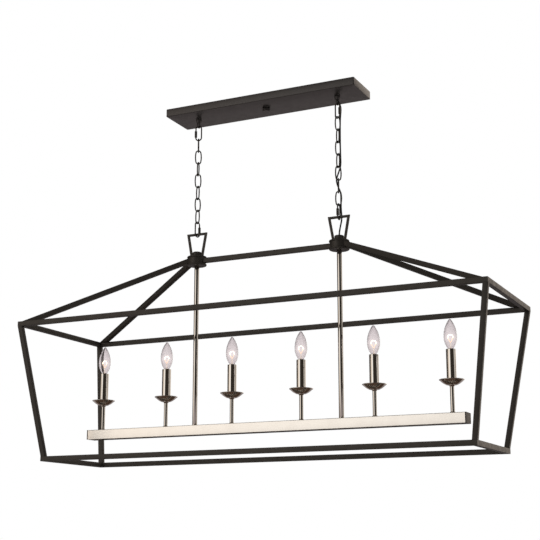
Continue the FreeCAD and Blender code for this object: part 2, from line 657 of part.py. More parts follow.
def make_plain_link():
    """Template of an oval chain link: two tip arcs and two flatter side arcs in one closed wire."""
    body = new_body("plain_link")
    half_long = "Sizes.chain_reach / 2"
    half_wide = "Sizes.chain_width / 2"
    rise = number(half_long + " - Sizes.chain_tip")
    wide = number(half_wide)
    tip = number("Sizes.chain_tip")
    flank = (wide ** 2 + rise ** 2 - tip ** 2) / (2 * (wide - tip))
    lean = math.atan2(rise, flank - wide)
    up = FreeCAD.Vector(0, 0, 1)
    spine = new_sketch(body, "XZ_Plane")
    arcs = (
        (FreeCAD.Vector(wide - flank, 0, 0), flank, -lean, lean),
        (FreeCAD.Vector(0, rise, 0), tip, lean, math.pi - lean),
        (FreeCAD.Vector(flank - wide, 0, 0), flank, math.pi - lean, math.pi + lean),
        (FreeCAD.Vector(0, -rise, 0), tip, math.pi + lean, 2 * math.pi - lean),
    )
    for centre, radius, start, end in arcs:
        spine.addGeometry(Part.ArcOfCircle(Part.Circle(centre, up, radius), start, end))
    for geometry in range(4):
        following = (geometry + 1) % 4
        spine.addConstraint(Sketcher.Constraint("Tangent", geometry, 2, following, 1))
    for geometry, height in ((1, rise), (3, -rise)):
        bind(spine, "DistanceX", geometry, 3, "0")
        sign = "" if height > 0 else "-"
        bind(spine, "DistanceY", geometry, 3, sign + "(" + half_long + " - Sizes.chain_tip)")
    for geometry in (1, 3):
        index = spine.addConstraint(Sketcher.Constraint("Radius", geometry, tip))
        spine.setExpression("Constraints[%d]" % index, "Sizes.chain_tip")
    for geometry in (0, 2):
        index = spine.addConstraint(Sketcher.Constraint("Radius", geometry, flank))
        spine.setExpression("Constraints[%d]" % index, flank_expression())
    section = new_sketch(body, "XY_Plane")
    circle(section, "Sizes.chain_wire / 2", half_wide)
    pipe = body.newObject("PartDesign::AdditivePipe", "wire")
    pipe.Profile = section
    pipe.Spine = (spine, [])
    return body


def flank_expression():
    """Radius of an oval link's side arcs, from its half length, half width and tip radius."""
    rise = "pow(Sizes.chain_reach / 2 - Sizes.chain_tip; 2)"
    wide = "pow(Sizes.chain_width / 2; 2)"
    tip = "pow(Sizes.chain_tip; 2)"
    return "(%s + %s - %s) / (Sizes.chain_width - 2 * Sizes.chain_tip)" % (wide, rise, tip)


def make_chain(side, sign, template):
    """Seven oval links, each hooked in the one above."""
    copies = []
    for index in range(CHAIN_LINKS):
        height = "Places.chain_top - Sizes.chain_reach / 2 - %d * Places.chain_pitch" % index
        name = "chain_link_%s_%d" % (side, index + 1)
        copies.append(copy_of(template, name, side_x(sign), "0", height, CHAIN_TURNS[side][index]))
    group("chain_" + side, copies)


def make_supply_cord():
    """Round cord from the canopy through the right loop, woven down the chain, hub and rod."""
    shift = number("Places.chain_side")
    points = [FreeCAD.Vector(x + shift, y, z) for x, y, z in CORD_ROUTE]
    radius = number("Sizes.cord_diameter / 2")
    edges = []
    bends = []
    here = points[0]
    for before, corner, after in zip(points, points[1:], points[2:]):
        way_in = (corner - before).normalize()
        way_out = (after - corner).normalize()
        turn = way_in.getAngle(way_out)
        shorter = min((corner - before).Length, (after - corner).Length)
        cut = 0.45 * shorter
        start = corner - way_in * cut
        end = corner + way_out * cut
        bend = cut / math.tan(turn / 2)
        bends.append(bend)
        inward = (way_out - way_in).normalize()
        to_centre = math.hypot(bend, cut)
        middle = corner + inward * (to_centre - bend)
        edges.append(Part.LineSegment(here, start).toShape())
        edges.append(Part.Arc(start, middle, end).toShape())
        here = end
    edges.append(Part.LineSegment(here, points[-1]).toShape())
    path = Part.Wire(edges)
    first_way = (points[1] - points[0]).normalize()
    section = Part.Wire(Part.makeCircle(radius, points[0], first_way))
    tube = path.makePipeShell([section], True, False)
    expected = math.pi * radius ** 2 * path.Length
    print("supply cord: length %.1f, volume %.1f of %.1f" % (path.Length, tube.Volume, expected))
    print("supply cord radii:", " ".join("%.0f" % bend for bend in bends))
    cord = doc.addObject("Part::Feature", "supply_cord")
    cord.Shape = tube
    keep(cord, "supply_cord")


def make_hanger_loop(side, sign):
    """Square bar bent to a trapezoid: a top bar and two legs that stand on the hub."""
    body = new_body("hanger_loop_" + side)
    foot = "Places.hub_top"
    top = "Places.hanger_top"
    below = "Places.hanger_top - Sizes.hanger_bar"
    top_out = "Sizes.hanger_top_width / 2"
    foot_out = "Sizes.hanger_foot_width / 2"
    slope = "(Sizes.hanger_top_width - Sizes.hanger_foot_width) / 2 / Sizes.hub_drop"
    leg = "Sizes.hanger_bar * sqrt(1 + pow(%s; 2))" % slope
    top_in = "%s - %s * Sizes.hanger_bar - %s" % (top_out, slope, leg)
    foot_in = "%s - %s" % (foot_out, leg)
    sketch = new_sketch(body, "XZ_Plane")
    outline(sketch, (
        ("-" + foot_out, foot), ("-(%s)" % foot_in, foot), ("-(%s)" % top_in, below), (top_in, below),
        (foot_in, foot), (foot_out, foot), (top_out, top), ("-" + top_out, top),
    ))
    bar = pad(body, sketch, "Sizes.hanger_bar", symmetric=True)
    half = number("Sizes.hanger_bar / 2")

    def is_long(edge):
        on_face = abs(abs(edge.CenterOfMass.y) - half) < 0.01
        return on_face and edge.Length > 2 * half + 1
    round_edges(body, bar, "Sizes.hanger_edge", is_long)
    locate(body, side_x(sign))
    keep(body, "hanger_loop_" + side)


def make_hub(side, sign):
    """Drum with two rounded flanges, a wire way and the rod's socket."""
    body = new_body("hub_" + side)
    bore = "Sizes.hub_bore / 2"
    flange = "Sizes.hub_flange / 2"
    waist = "Sizes.hub_waist / 2"
    socket = "Sizes.rod_diameter / 2 + Sizes.thread_gap"
    bottom = "-Sizes.hub_height"
    upper = "-Sizes.hub_flange_height"
    lower = "Sizes.hub_flange_height - Sizes.hub_height"
    stop = "Sizes.rod_socket - Sizes.hub_height"
    turned = lathe(body, (
        (bore, "0"), (flange, "0"), (flange, upper), (waist, upper), (waist, lower),
        (flange, lower), (flange, bottom), (socket, bottom), (socket, stop), (bore, stop),
    ))
    top_ring = ring_at(flange, "0")
    bottom_ring = ring_at(flange, bottom)
    round_edges(body, turned, "Sizes.hub_rounding", lambda edge: top_ring(edge) or bottom_ring(edge))
    locate(body, side_x(sign), "0", "Places.hub_top")
    keep(body, "hub_" + side)


def make_hub_collar(side, sign):
    body = new_body("hub_collar_" + side)
    bore = "Sizes.hub_bore / 2"
    outer = "Sizes.hub_collar_diameter / 2"
    top = "Sizes.hub_collar_height"
    turned = lathe(body, ((bore, "0"), (outer, "0"), (outer, top), (bore, top)))
    round_edges(body, turned, "Sizes.hub_collar_rounding", ring_at(outer, top))
    locate(body, side_x(sign), "0", "Places.hub_top")
    keep(body, "hub_collar_" + side)


def tube_section(body, centred):
    """Square ring on the YZ plane, centred or with its outer face on y = 0 and its top on z = 0."""
    sketch = new_sketch(body, "YZ_Plane")
    side = "Sizes.tube_side"
    wall = "Sizes.tube_wall"
    if centred:
        half = side + " / 2"
        inner = half + " - " + wall
        rectangle(sketch, "-" + half, "-" + half, half, half)
        rectangle(sketch, "-(%s)" % inner, "-(%s)" % inner, inner, inner)
    else:
        rectangle(sketch, "0", "-" + side, side, "0")
        rectangle(sketch, wall, wall + " - " + side, side + " - " + wall, "-" + wall)
    return sketch


def make_ridge_bar():
    """Square tube from hub to hub, coped round their waists."""
    body = new_body("ridge_bar")
    pad(body, tube_section(body, True), "Sizes.chain_spacing", symmetric=True)
    copes = new_sketch(body, "XY_Plane")
    for _side, sign in SIDES:
        circle(copes, "Sizes.hub_waist / 2 + Sizes.thread_gap", side_x(sign))
    pocket_through(body, copes)
    locate(body, z="Places.hub_middle")
    keep(body, "ridge_bar")


def make_hip_bars():
    """Four square tubes from the hubs' waists down to the corners of the upper frame."""
    waist = number("Sizes.hub_waist / 2")
    along = number("Sizes.upper_length / 2 - Sizes.hip_inset_along - Places.chain_side")
    across = number("Sizes.upper_width / 2 - Sizes.hip_inset_across")
    level = math.hypot(along, across)
    swing = math.degrees(math.atan2(across, along))
    fall = math.atan2(number("Sizes.roof_height"), level - waist)
    start_rise = waist * math.tan(fall)
    length = level / math.cos(fall) + number("4 * Sizes.tube_side")
    floor = doc.addObject("Part::Box", "below_the_rails")
    floor.setExpression("Length", "Sizes.upper_length * 2")
    floor.setExpression("Width", "Sizes.upper_width * 2")
    floor.setExpression("Height", "Sizes.cage_height")
    locate(floor, "-Sizes.upper_length", "-Sizes.upper_width", "Places.rail_top - Sizes.cage_height")
    bars = []
    for side, sign in SIDES:
        drum = doc.addObject("Part::Cylinder", "hub_waist_" + side)
        drum.setExpression("Radius", "Sizes.hub_waist / 2 + Sizes.thread_gap")
        drum.setExpression("Height", "4 * Sizes.hub_height")
        locate(drum, side_x(sign), "0", "Places.hub_middle - 2 * Sizes.hub_height")
        tool = doc.addObject("Part::Fuse", "hip_trim_" + side)
        tool.Base = drum
        tool.Tool = floor
        for row, way in (("front", -1), ("rear", 1)):
            tube = new_body("hip_tube_%s_%s" % (row, side))
            feature = pad(tube, tube_section(tube, True), "Sizes.upper_length")
            feature.setExpression("Length", None)
            feature.Length = length
            heading = way * swing if sign > 0 else 180 - way * swing
            around = FreeCAD.Rotation(FreeCAD.Vector(0, 0, 1), heading)
            down = FreeCAD.Rotation(FreeCAD.Vector(0, 1, 0), math.degrees(fall))
            base = FreeCAD.Vector(number(side_x(sign)), 0, number("Places.hub_middle") + start_rise)
            tube.Placement = FreeCAD.Placement(base, around.multiply(down))
            bar = doc.addObject("Part::Cut", "hip_bar_%s_%s" % (row, side))
            bar.Base = tube
            bar.Tool = tool
            bars.append(bar)
    group("hip_bars", bars)


def make_rail(label, length, x, y, z, turn):
    """Square tube mitred at both ends, its outer face on y = 0 before it is turned."""
    body = new_body(label)
    pad(body, tube_section(body, False), length, symmetric=True)
    side = "Sizes.tube_side"
    half = "(%s) / 2" % length
    past = "Sizes.tube_wall"
    mitres = new_sketch(body, "XY_Plane")
    for sign in ("", "-"):
        outline(mitres, (
            (sign + "(" + half + " + " + past + ")", "-" + past),
            (sign + "(" + half + " + " + past + ")", side + " + " + past),
            (sign + "(" + half + " - " + side + " - " + past + ")", side + " + " + past),
        ))
    pocket_through(body, mitres)
    locate(body, x, y, z, turn=turn)
    keep(body, label)


def make_frame(name, frame, top):
    """Four mitred rails round a rectangle."""
    length, width = frame
    make_rail(name + "_rail_front", length, "0", "-(%s) / 2" % width, top, 0)
    make_rail(name + "_rail_rear", length, "0", "(%s) / 2" % width, top, 180)
    make_rail(name + "_rail_left", width, "-(%s) / 2" % length, "0", top, -90)
    make_rail(name + "_rail_right", width, "(%s) / 2" % length, "0", top, 90)


def make_corner_posts():
    """Four tubes that lean inwards from the upper frame's corners to the lower frame's."""
    side = "Sizes.tube_side"
    wall = "Sizes.tube_wall"
    ends = ((UPPER_FRAME, "Places.post_top"), (LOWER_FRAME, "Places.lower_rail_top"))
    posts = []
    for column, sign in SIDES:
        for row, way in (("front", -1), ("rear", 1)):
            post = new_body("post_%s_%s" % (row, column))
            for kind, inset in (("AdditiveLoft", "0"), ("SubtractiveLoft", wall)):
                sections = []
                for (length, width), level in ends:
                    far_x = "%d * (%s / 2 - %s)" % (sign, length, inset)
                    near_x = "%d * (%s / 2 - %s + %s)" % (sign, length, side, inset)
                    far_y = "%d * (%s / 2 - %s)" % (way, width, inset)
                    near_y = "%d * (%s / 2 - %s + %s)" % (way, width, side, inset)
                    square = new_sketch(post, "XY_Plane", level)
                    rectangle(square, near_x, near_y, far_x, far_y)
                    sections.append(square)
                loft = post.newObject("PartDesign::" + kind, "loft")
                loft.Profile = sections[0]
                loft.Sections = [sections[1]]
                loft.Ruled = True
            posts.append(post)
    group("corner_posts", posts)


def make_rod(side, sign):
    """Polished tube from the hub's socket through the top of the light bar."""
    height = "Places.hub_bottom + Sizes.rod_socket - Places.bar_top + Sizes.below_wall"
    solids = []
    radii = (("outside", "Sizes.rod_diameter / 2"), ("bore", "Sizes.rod_diameter / 2 - Sizes.rod_wall"))
    for name, radius in radii:
        cylinder = doc.addObject("Part::Cylinder", "rod_%s_%s" % (name, side))
        cylinder.setExpression("Radius", radius)
        cylinder.setExpression("Height", height)
        locate(cylinder, side_x(sign), "0", "Places.bar_top - Sizes.below_wall")
        solids.append(cylinder)
    rod = doc.addObject("Part::Cut", "rod_" + side)
    rod.Base = solids[0]
    rod.Tool = solids[1]
    keep(rod, "rod_" + side)


def make_light_bar():
    """Channel, open below, with holes for the stems and the rods."""
    body = new_body("light_bar")
    half = "Sizes.bar_width / 2"
    inner = "Places.bar_inner_width / 2"
    bottom = "-Sizes.bar_height"
    section = new_sketch(body, "YZ_Plane")
    outline(section, (
        ("-" + half, bottom), ("-" + inner, bottom), ("-" + inner, "-Sizes.bar_wall"),
        (inner, "-Sizes.bar_wall"), (inner, bottom), (half, bottom), (half, "0"), ("-" + half, "0"),
    ))
    pad(body, section, "Places.tube_length", symmetric=True)
    holes = new_sketch(body, "XY_Plane")
    for index in range(CANDLES):
        circle(holes, "Sizes.stem_diameter / 2 + Sizes.hole_gap", candle_x(index))
    for _side, sign in SIDES:
        circle(holes, "Sizes.rod_diameter / 2 + Sizes.hole_gap", side_x(sign))
    pocket_through(body, holes)
    locate(body, z="Places.bar_top")
    keep(body, "light_bar")


def make_bar_end_caps():
    """End plates, each with a tongue inside the bar that takes the cover's screw."""
    body = new_body("bar_end_cap")
    half = "Sizes.bar_width / 2"
    plate = new_sketch(body, "YZ_Plane")
    rectangle(plate, "-" + half, "-Sizes.bar_height", half, "0")
    pad(body, plate, "Sizes.cap_thickness")
    tongue = new_sketch(body, "YZ_Plane")
    inner = "Places.bar_inner_width / 2 - Sizes.hole_gap"
    low = "Sizes.cover_thickness - Sizes.bar_height"
    rectangle(tongue, "-(%s)" % inner, low, inner, low + " + Sizes.tongue_thickness")
    pad(body, tongue, "Sizes.tongue_length", reverse=True)
    hole = new_sketch(body, "XY_Plane")
    place = "Sizes.cap_thickness - Sizes.cover_screw_place"
    circle(hole, "Sizes.cover_screw_diameter / 2 + Sizes.thread_gap", place)
    pocket_through(body, hole)
    copies = [
        copy_of(body, "bar_end_cap_right", "Places.tube_length / 2", "0", "Places.bar_top"),
        copy_of(body, "bar_end_cap_left", "-Places.tube_length / 2", "0", "Places.bar_top", 180),
    ]
    group("bar_end_caps", copies)


def make_bar_cover():
    """Strip that closes the bar from below."""
    body = new_body("bar_cover")
    half = "Places.tube_length / 2 - Sizes.thread_gap"
    wide = "Places.bar_inner_width / 2 - Sizes.hole_gap"
    strip = new_sketch(body, "XY_Plane")
    rectangle(strip, "-(%s)" % half, "-(%s)" % wide, half, wide)
    pad(body, strip, "Sizes.cover_thickness", reverse=True)
    holes = new_sketch(body, "XY_Plane")
    for sign in ("", "-"):
        place = sign + "(Sizes.bar_length / 2 - Sizes.cover_screw_place)"
        circle(holes, "Sizes.cover_screw_diameter / 2 + Sizes.thread_gap", place)
    pocket_through(body, holes)
    locate(body, z="Places.cover_top")
    keep(body, "bar_cover")


def make_cover_screws():
    screw = new_body("cover_screw")
    shank = "Sizes.cover_screw_diameter / 2"
    head = "Sizes.cover_screw_head / 2"
    top = "Sizes.cover_thickness + Sizes.tongue_thickness"
    turned = lathe(screw, (
        ("0", top), (shank, top), (shank, "0"), (head, "0"),
        (head, "-Sizes.cover_screw_height"), ("0", "-Sizes.cover_screw_height"),
    ))
    round_edges(screw, turned, "Sizes.cover_screw_height / 2", ring_at(head, "-Sizes.cover_screw_height"))
    copies = []
    for side, sign in (("left", "-"), ("right", "")):
        place = sign + "(Sizes.bar_length / 2 - Sizes.cover_screw_place)"
        copies.append(copy_of(screw, "cover_screw_" + side, place, "0", "Places.bar_bottom"))
    group("cover_screws", copies)


def make_bar_lock_nuts():
    """Nuts under the bar's top wall: large ones on the rods, small ones on the stems."""
    large_bore = "Sizes.rod_diameter / 2 + Sizes.thread_gap"
    small_bore = "Sizes.stem_diameter / 2 + Sizes.thread_gap"
    large = hexagon_nut("rod_nut", "Sizes.lock_nut_flats + 4", large_bore, "Sizes.lock_nut_height")
    small = hexagon_nut("stem_nut", "Sizes.lock_nut_flats", small_bore, "Sizes.lock_nut_height")
    level = "Places.bar_top - Sizes.bar_wall - Sizes.lock_nut_height"
    copies = [copy_of(large, "rod_nut_" + side, side_x(sign), "0", level) for side, sign in SIDES]
    for index in range(CANDLES):
        copies.append(copy_of(small, "stem_nut_%d" % (index + 1), candle_x(index), "0", level))
    group("bar_lock_nuts", copies)


def candle_group(label, template, level):
    """One copy of a template on each candle's axis."""
    copies = []
    for index in range(CANDLES):
        copies.append(copy_of(template, "%s_%d" % (label, index + 1), candle_x(index), "0", level))
    group(label, copies)


def make_candle_stems():
    """Threaded tube with a flange on the bar and one under the bobeche."""
    body = new_body("candle_stem")
    bore = "Sizes.stem_bore / 2"
    outer = "Sizes.stem_diameter / 2"
    foot = "Sizes.stem_foot / 2"
    neck = "Sizes.stem_neck / 2"
    under = "Sizes.stem_rise - Sizes.stem_neck_height"
    lathe(body, (
        (bore, "-Sizes.below_wall"), (outer, "-Sizes.below_wall"), (outer, "0"), (foot, "0"),
        (foot, "Sizes.stem_foot_height"), (outer, "Sizes.stem_foot_height"), (outer, under),
        (neck, "Sizes.stem_rise"), (outer, "Sizes.stem_rise"),
        (outer, "Sizes.stem_rise + Sizes.stem_top"), (bore, "Sizes.stem_rise + Sizes.stem_top"),
    ))
    candle_group("candle_stems", body, "Places.bar_top")


def make_bobeches():
    """Shallow spun dish with a flat floor and a curved side."""
    body = new_body("bobeche")
    hole = "Sizes.stem_diameter / 2 + Sizes.thread_gap"
    floor = "Sizes.bobeche_floor / 2"
    rim = "Sizes.bobeche_diameter / 2"
    wall = "Sizes.bobeche_wall"
    lathe(body, (
        (hole, "0"), (floor, "0"), (rim, "Sizes.bobeche_depth"),
        (rim + " - " + wall, "Sizes.bobeche_depth"), (floor, wall), (hole, wall),
    ), {1: ("Sizes.bobeche_curve", True), 3: ("Sizes.bobeche_curve - " + wall, False)})
    candle_group("bobeches", body, "Places.seat")


def make_candle_sockets():
    """Socket on the stem's end: a slim body and a cup that takes the bulb's screw shell."""
    body = new_body("candle_socket")
    thread = "Sizes.stem_diameter / 2 + Sizes.thread_gap"
    engage = "Sizes.stem_top - Sizes.bobeche_wall + Sizes.hole_gap"
    wire = "Sizes.socket_wire_bore / 2"
    leg = "Sizes.socket_leg / 2"
    cup = "Sizes.socket_cup / 2"
    step = "Places.socket_height - Sizes.socket_cup_height"
    bottom = "Places.socket_height - Sizes.socket_depth"
    bore = "Sizes.base_diameter / 2 + Sizes.base_gap"
    lathe(body, (
        (thread, "0"), (leg, "0"), (leg, step), (cup, step), (cup, "Places.socket_height"),
        (bore, "Places.socket_height"), (bore, bottom), (wire, bottom), (wire, engage), (thread, engage),
    ))
    candle_group("candle_sockets", body, "Places.floor_top")


def make_candle_sleeves():
    body = new_body("candle_sleeve")
    outer = "Sizes.sleeve_diameter / 2"
    inner = outer + " - Sizes.sleeve_wall"
    lathe(body, ((inner, "0"), (outer, "0"), (outer, "Sizes.sleeve_height"), (inner, "Sizes.sleeve_height")))
    candle_group("candle_sleeves", body, "Places.floor_top")


def make_bulb_glass(index):
    """Hollow torpedo: a shoulder up from the neck, an ogive above the widest place and a round nose."""
    body = new_body("bulb_glass_%d" % (index + 1))
    belly = "Sizes.glass_belly"
    widest = "Places.glass_radius"
    neck = "Sizes.glass_neck / 2"
    wall = "Sizes.glass_wall"
    nose = "Sizes.glass_nose"
    inner_nose = "(%s - %s)" % (nose, wall)
    lathe(body, (
        (neck, "0"), (widest, belly),
        (nose + " * Places.nose_across", "Places.nose_middle + %s * Places.nose_up" % nose),
        ("0", "Sizes.glass_height"), ("0", "Sizes.glass_height - " + wall),
        (inner_nose + " * Places.nose_across", "Places.nose_middle + %s * Places.nose_up" % inner_nose),
        (widest + " - " + wall, belly), (neck + " - " + wall, "Places.inner_neck"),
        (neck + " - " + wall, "0"),
    ), {
        0: ("Places.shoulder", True), 1: ("Places.ogive", True), 2: (nose, True),
        4: (inner_nose, False), 5: ("Places.ogive - " + wall, False), 6: ("Places.inner_shoulder", False),
    })
    locate(body, candle_x(index), "0", "Places.shell_top")
    keep(body, "bulb_glass_%d" % (index + 1))


def make_bulb_base(index):
    """Screw shell with its contact, and the mount inside the glass that carries the filament."""
    shell = new_body("bulb_shell_%d" % (index + 1))
    flare = "Sizes.base_flare / 2"
    outer = "Sizes.base_diameter / 2"
    contact = "Sizes.contact_diameter / 2"
    step = "-Places.flare_height"
    bottom = step + " - Sizes.base_length"
    lathe(shell, (
        ("0", "0"), (flare, "0"), (flare, step), (outer, step), (outer, bottom),
        (contact, bottom + " - Sizes.contact_height"), ("0", bottom + " - Sizes.contact_height"),
    ))
    mount = new_body("bulb_mount_%d" % (index + 1))
    post = new_sketch(mount, "XY_Plane", "Sizes.thread_gap")
    circle(post, "Sizes.mount_diameter / 2")
    pad(mount, post, "Sizes.mount_height")
    spine = new_sketch(mount, "XZ_Plane")
    foot = number("Sizes.mount_height")
    top = number("Sizes.filament_bend")
    near = number("Sizes.mount_diameter / 4")
    wide = number("Sizes.filament_spread / 2")
    corners = ((-near, foot), (-wide, top), (wide, top), (near, foot))
    points = [FreeCAD.Vector(x, y, 0) for x, y in corners]
    lean = math.atan2(wide - near, top - foot)
    spine.addGeometry(Part.LineSegment(points[0], points[1]))
    arch = arc_between(points[2], points[1], wide / math.cos(lean), True)
    spine.addGeometry(arch)
    spine.addGeometry(Part.LineSegment(points[2], points[3]))
    spine.addConstraint(Sketcher.Constraint("Coincident", 0, 2, 1, 2))
    spine.addConstraint(Sketcher.Constraint("Coincident", 1, 1, 2, 1))
    for geometry, end, sign in ((0, 1, "-"), (2, 2, "")):
        bind(spine, "DistanceX", geometry, end, sign + "Sizes.mount_diameter / 4")
        bind(spine, "DistanceY", geometry, end, "Sizes.mount_height")
    for geometry, end, sign in ((0, 2, "-"), (2, 1, "")):
        bind(spine, "DistanceX", geometry, end, sign + "Sizes.filament_spread / 2")
        bind(spine, "DistanceY", geometry, end, "Sizes.filament_bend")
    spine.addConstraint(Sketcher.Constraint("Tangent", 0, 1))
    section = new_sketch(mount, "XY_Plane", "Sizes.mount_height")
    circle(section, "Sizes.filament_wire / 2", "-Sizes.mount_diameter / 4")
    pipe = mount.newObject("PartDesign::AdditivePipe", "filament")
    pipe.Profile = section
    pipe.Spine = (spine, [])
    for piece in (shell, mount):
        locate(piece, candle_x(index), "0", "Places.shell_top")
    group("bulb_base_%d" % (index + 1), [shell, mount])


def make_bar_wiring():
    """Bundle of wires along the bar, with a pair of leads up each stem to its socket."""
    length = "(%d * Sizes.candle_pitch)" % (CANDLES - 1)
    bundle = doc.addObject("Part::Cylinder", "bundle")
    bundle.setExpression("Radius", "Sizes.harness_diameter / 2")
    bundle.setExpression("Height", length)
    locate(bundle, "-" + length + " / 2", "0", "Places.harness_middle", axis=(0, 1, 0), turn=90)
    runs = [bundle]
    for index in range(CANDLES):
        lead = doc.addObject("Part::Cylinder", "lead_%d" % (index + 1))
        lead.setExpression("Radius", "Sizes.lead_diameter / 2")
        lead.setExpression("Height", "Places.socket_top - Sizes.socket_depth - Places.harness_middle")
        locate(lead, candle_x(index), "0", "Places.harness_middle")
        runs.append(lead)
    wiring = doc.addObject("Part::MultiFuse", "bar_wiring")
    wiring.Shapes = runs
    keep(wiring, "bar_wiring")


def check_and_export():
    """Stop on any failed object, then write one file for each sub-part."""
    doc.recompute()
    for entry in doc.Objects:
        if "Invalid" in entry.State or "Error" in entry.State:
            raise RuntimeError("%s (%s) failed: %s" % (entry.Label, entry.Name, entry.State))
    for piece in NODES:
        shape = piece.Shape
        if shape.isNull() or not shape.isValid():
            raise RuntimeError(piece.Label + " has no valid shape")
        if not shape.Solids:
            raise RuntimeError(piece.Label + " has no solid")
    os.makedirs("parts", exist_ok=True)
    for piece in NODES:
        piece.Shape.exportStep("parts/%s.step" % piece.Label)
    print("%d nodes written" % len(NODES))


def main():
    make_mounting_strap()
    make_canopy_stud()
    make_ground_screw()
    make_canopy_pan()
    make_canopy_knob()
    make_canopy_lock_nuts()
    plain_link = make_plain_link()
    for side, sign in SIDES:
        make_chain_loop(side, sign)
        top = ("top_link_" + side, "top_link_nut_" + side)
        bottom = ("bottom_link_" + side, "bottom_link_nut_" + side)
        make_quick_link(*top, side, "Places.top_link_middle", TOP_LINK_TURN[side])
        make_chain(side, sign, plain_link)
        make_quick_link(*bottom, side, "Places.bottom_link_middle", BOTTOM_LINK_TURN[side])
        make_hanger_loop(side, sign)
        make_hub(side, sign)
        make_hub_collar(side, sign)
        make_rod(side, sign)
    make_supply_cord()
    make_ridge_bar()
    make_hip_bars()
    make_frame("upper", UPPER_FRAME, "Places.rail_top")
    make_corner_posts()
    make_frame("lower", LOWER_FRAME, "Places.lower_rail_top")
    make_light_bar()
    make_bar_end_caps()
    make_bar_cover()
    make_cover_screws()
    make_bar_lock_nuts()
    make_candle_stems()
    make_bobeches()
    make_candle_sockets()
    make_candle_sleeves()
    make_bar_wiring()
    for index in range(CANDLES):
        make_bulb_base(index)
        make_bulb_glass(index)
    check_and_export()


main()
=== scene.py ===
"""Studio scene of a linear island pendant: canopy, two chains, cage of square tube and a bar of six candles.

Lengths in the pendant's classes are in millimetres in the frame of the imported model: the ceiling plane is
z = 0, +X runs along the cage and +Z points up. They become metres when a surface is put into a mesh. The
studio's lengths and the heights of the finishes' bumps are in metres.
"""
import logging
import math
from dataclasses import dataclass
from enum import Enum

import bpy
import numpy as np
from mathutils import Matrix, Vector


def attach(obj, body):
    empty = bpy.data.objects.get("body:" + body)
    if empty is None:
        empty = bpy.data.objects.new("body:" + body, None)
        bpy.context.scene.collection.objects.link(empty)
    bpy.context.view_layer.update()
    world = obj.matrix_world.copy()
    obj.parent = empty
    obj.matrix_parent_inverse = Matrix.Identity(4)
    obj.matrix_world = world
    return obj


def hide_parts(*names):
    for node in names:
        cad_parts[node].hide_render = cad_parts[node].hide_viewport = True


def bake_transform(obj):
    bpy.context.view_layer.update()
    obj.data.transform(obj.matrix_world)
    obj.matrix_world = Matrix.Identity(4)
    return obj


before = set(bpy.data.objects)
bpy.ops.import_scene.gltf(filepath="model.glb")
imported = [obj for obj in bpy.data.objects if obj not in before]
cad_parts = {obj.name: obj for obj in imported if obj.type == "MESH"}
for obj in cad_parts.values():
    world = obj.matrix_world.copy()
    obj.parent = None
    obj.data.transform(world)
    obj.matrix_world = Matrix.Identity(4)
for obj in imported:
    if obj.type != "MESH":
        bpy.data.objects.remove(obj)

LOG = logging.getLogger("pendant")
MM = 0.001
Surface = tuple[np.ndarray, list[list[int]]]
Pair = tuple[float, float]
Triple = tuple[float, float, float]
Socket = bpy.types.NodeSocket

WHITE = (1.0, 1.0, 1.0)
X_WAY, Y_WAY, Z_WAY = np.eye(3)

# Corners of a square, in order round it.
CORNERS = ((-1, -1), (1, -1), (1, 1), (-1, 1))

# Places that several classes share: the axis of a chain, hub and rod, the hubs' top, the bar's top.
CHAIN_X = 204.7
HUB_TOP = -407.0
BAR_TOP = -855.6


class Side(Enum):
    """The two chains, hubs and rods, by the sign of their place along X."""

    LEFT = -1
    RIGHT = 1

    @property
    def tag(self) -> str:
        """The side's word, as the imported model's names use it."""
        return self.name.lower()

    @property
    def x(self) -> float:
        """Place of the side's chain along X."""
        return self.value * CHAIN_X


class Slot(Enum):
    """Names of some of the record's material slots, listed with the finer pieces."""

    BRONZE = "dark_bronze"
    NICKEL = "polished_nickel"
    CORD = "cord_black"
    GLASS = "bulb_glass"
    SHELL = "bulb_shell"


# Surfaces


def unit(vectors: np.ndarray) -> np.ndarray:
    """Vectors divided by their lengths, along the last axis."""
    return vectors / np.linalg.norm(vectors, axis=-1, keepdims=True)


def grid(x: np.ndarray, y: np.ndarray, z: np.ndarray) -> np.ndarray:
    """Points whose three coordinates are spread over one common shape."""
    return np.stack(np.broadcast_arrays(x, y, z), axis=-1)


def around(count: int) -> np.ndarray:
    """Even angles once round."""
    return np.linspace(0, 2 * math.pi, count, endpoint=False)


def polar(radius: np.ndarray, angle: np.ndarray, height: np.ndarray) -> np.ndarray:
    """Points round Z: x = r cos a, y = r sin a, z = height."""
    return grid(radius * np.cos(angle), radius * np.sin(angle), height)


def rounded_outline(corners: list[Triple], steps: int = 5) -> np.ndarray:
    """Closed outline with an arc at each corner.

    An arc of radius r touches both sides at r over the tangent of the half angle from the corner, its
    centre lies on the bisector at r over the sine of that half angle, and its points turn at an even
    rate from one touching point to the other. No corner may lie straight between its neighbours.

    Args:
        corners: x, y and arc radius of each corner, in order.
        steps: spans of each arc.

    Returns:
        Points of the outline, one row each.
    """
    data = np.array(corners, float)
    here = data[:, :2]
    radius = np.maximum(data[:, 2], 0.02)[:, None]
    back = unit(np.roll(here, 1, axis=0) - here)
    ahead = unit(np.roll(here, -1, axis=0) - here)
    half = np.arccos(np.clip((back * ahead).sum(1), -1, 1))[:, None] / 2
    centre = here + unit(back + ahead) * radius / np.sin(half)
    start = here + back * radius / np.tan(half) - centre
    end = here + ahead * radius / np.tan(half) - centre
    turn = (math.pi - 2 * half)[:, None, :]
    share = np.linspace(0, 1, steps + 1)[None, :, None]
    arc = np.sin((1 - share) * turn) * start[:, None] + np.sin(share * turn) * end[:, None]
    return (centre[:, None] + arc / np.sin(turn)).reshape(-1, 2)


def square_outline(side: float, rounding: float) -> np.ndarray:
    """Square with rounded corners about the origin."""
    half = side / 2
    return rounded_outline([(x * half, y * half, rounding) for x, y in CORNERS], 3)


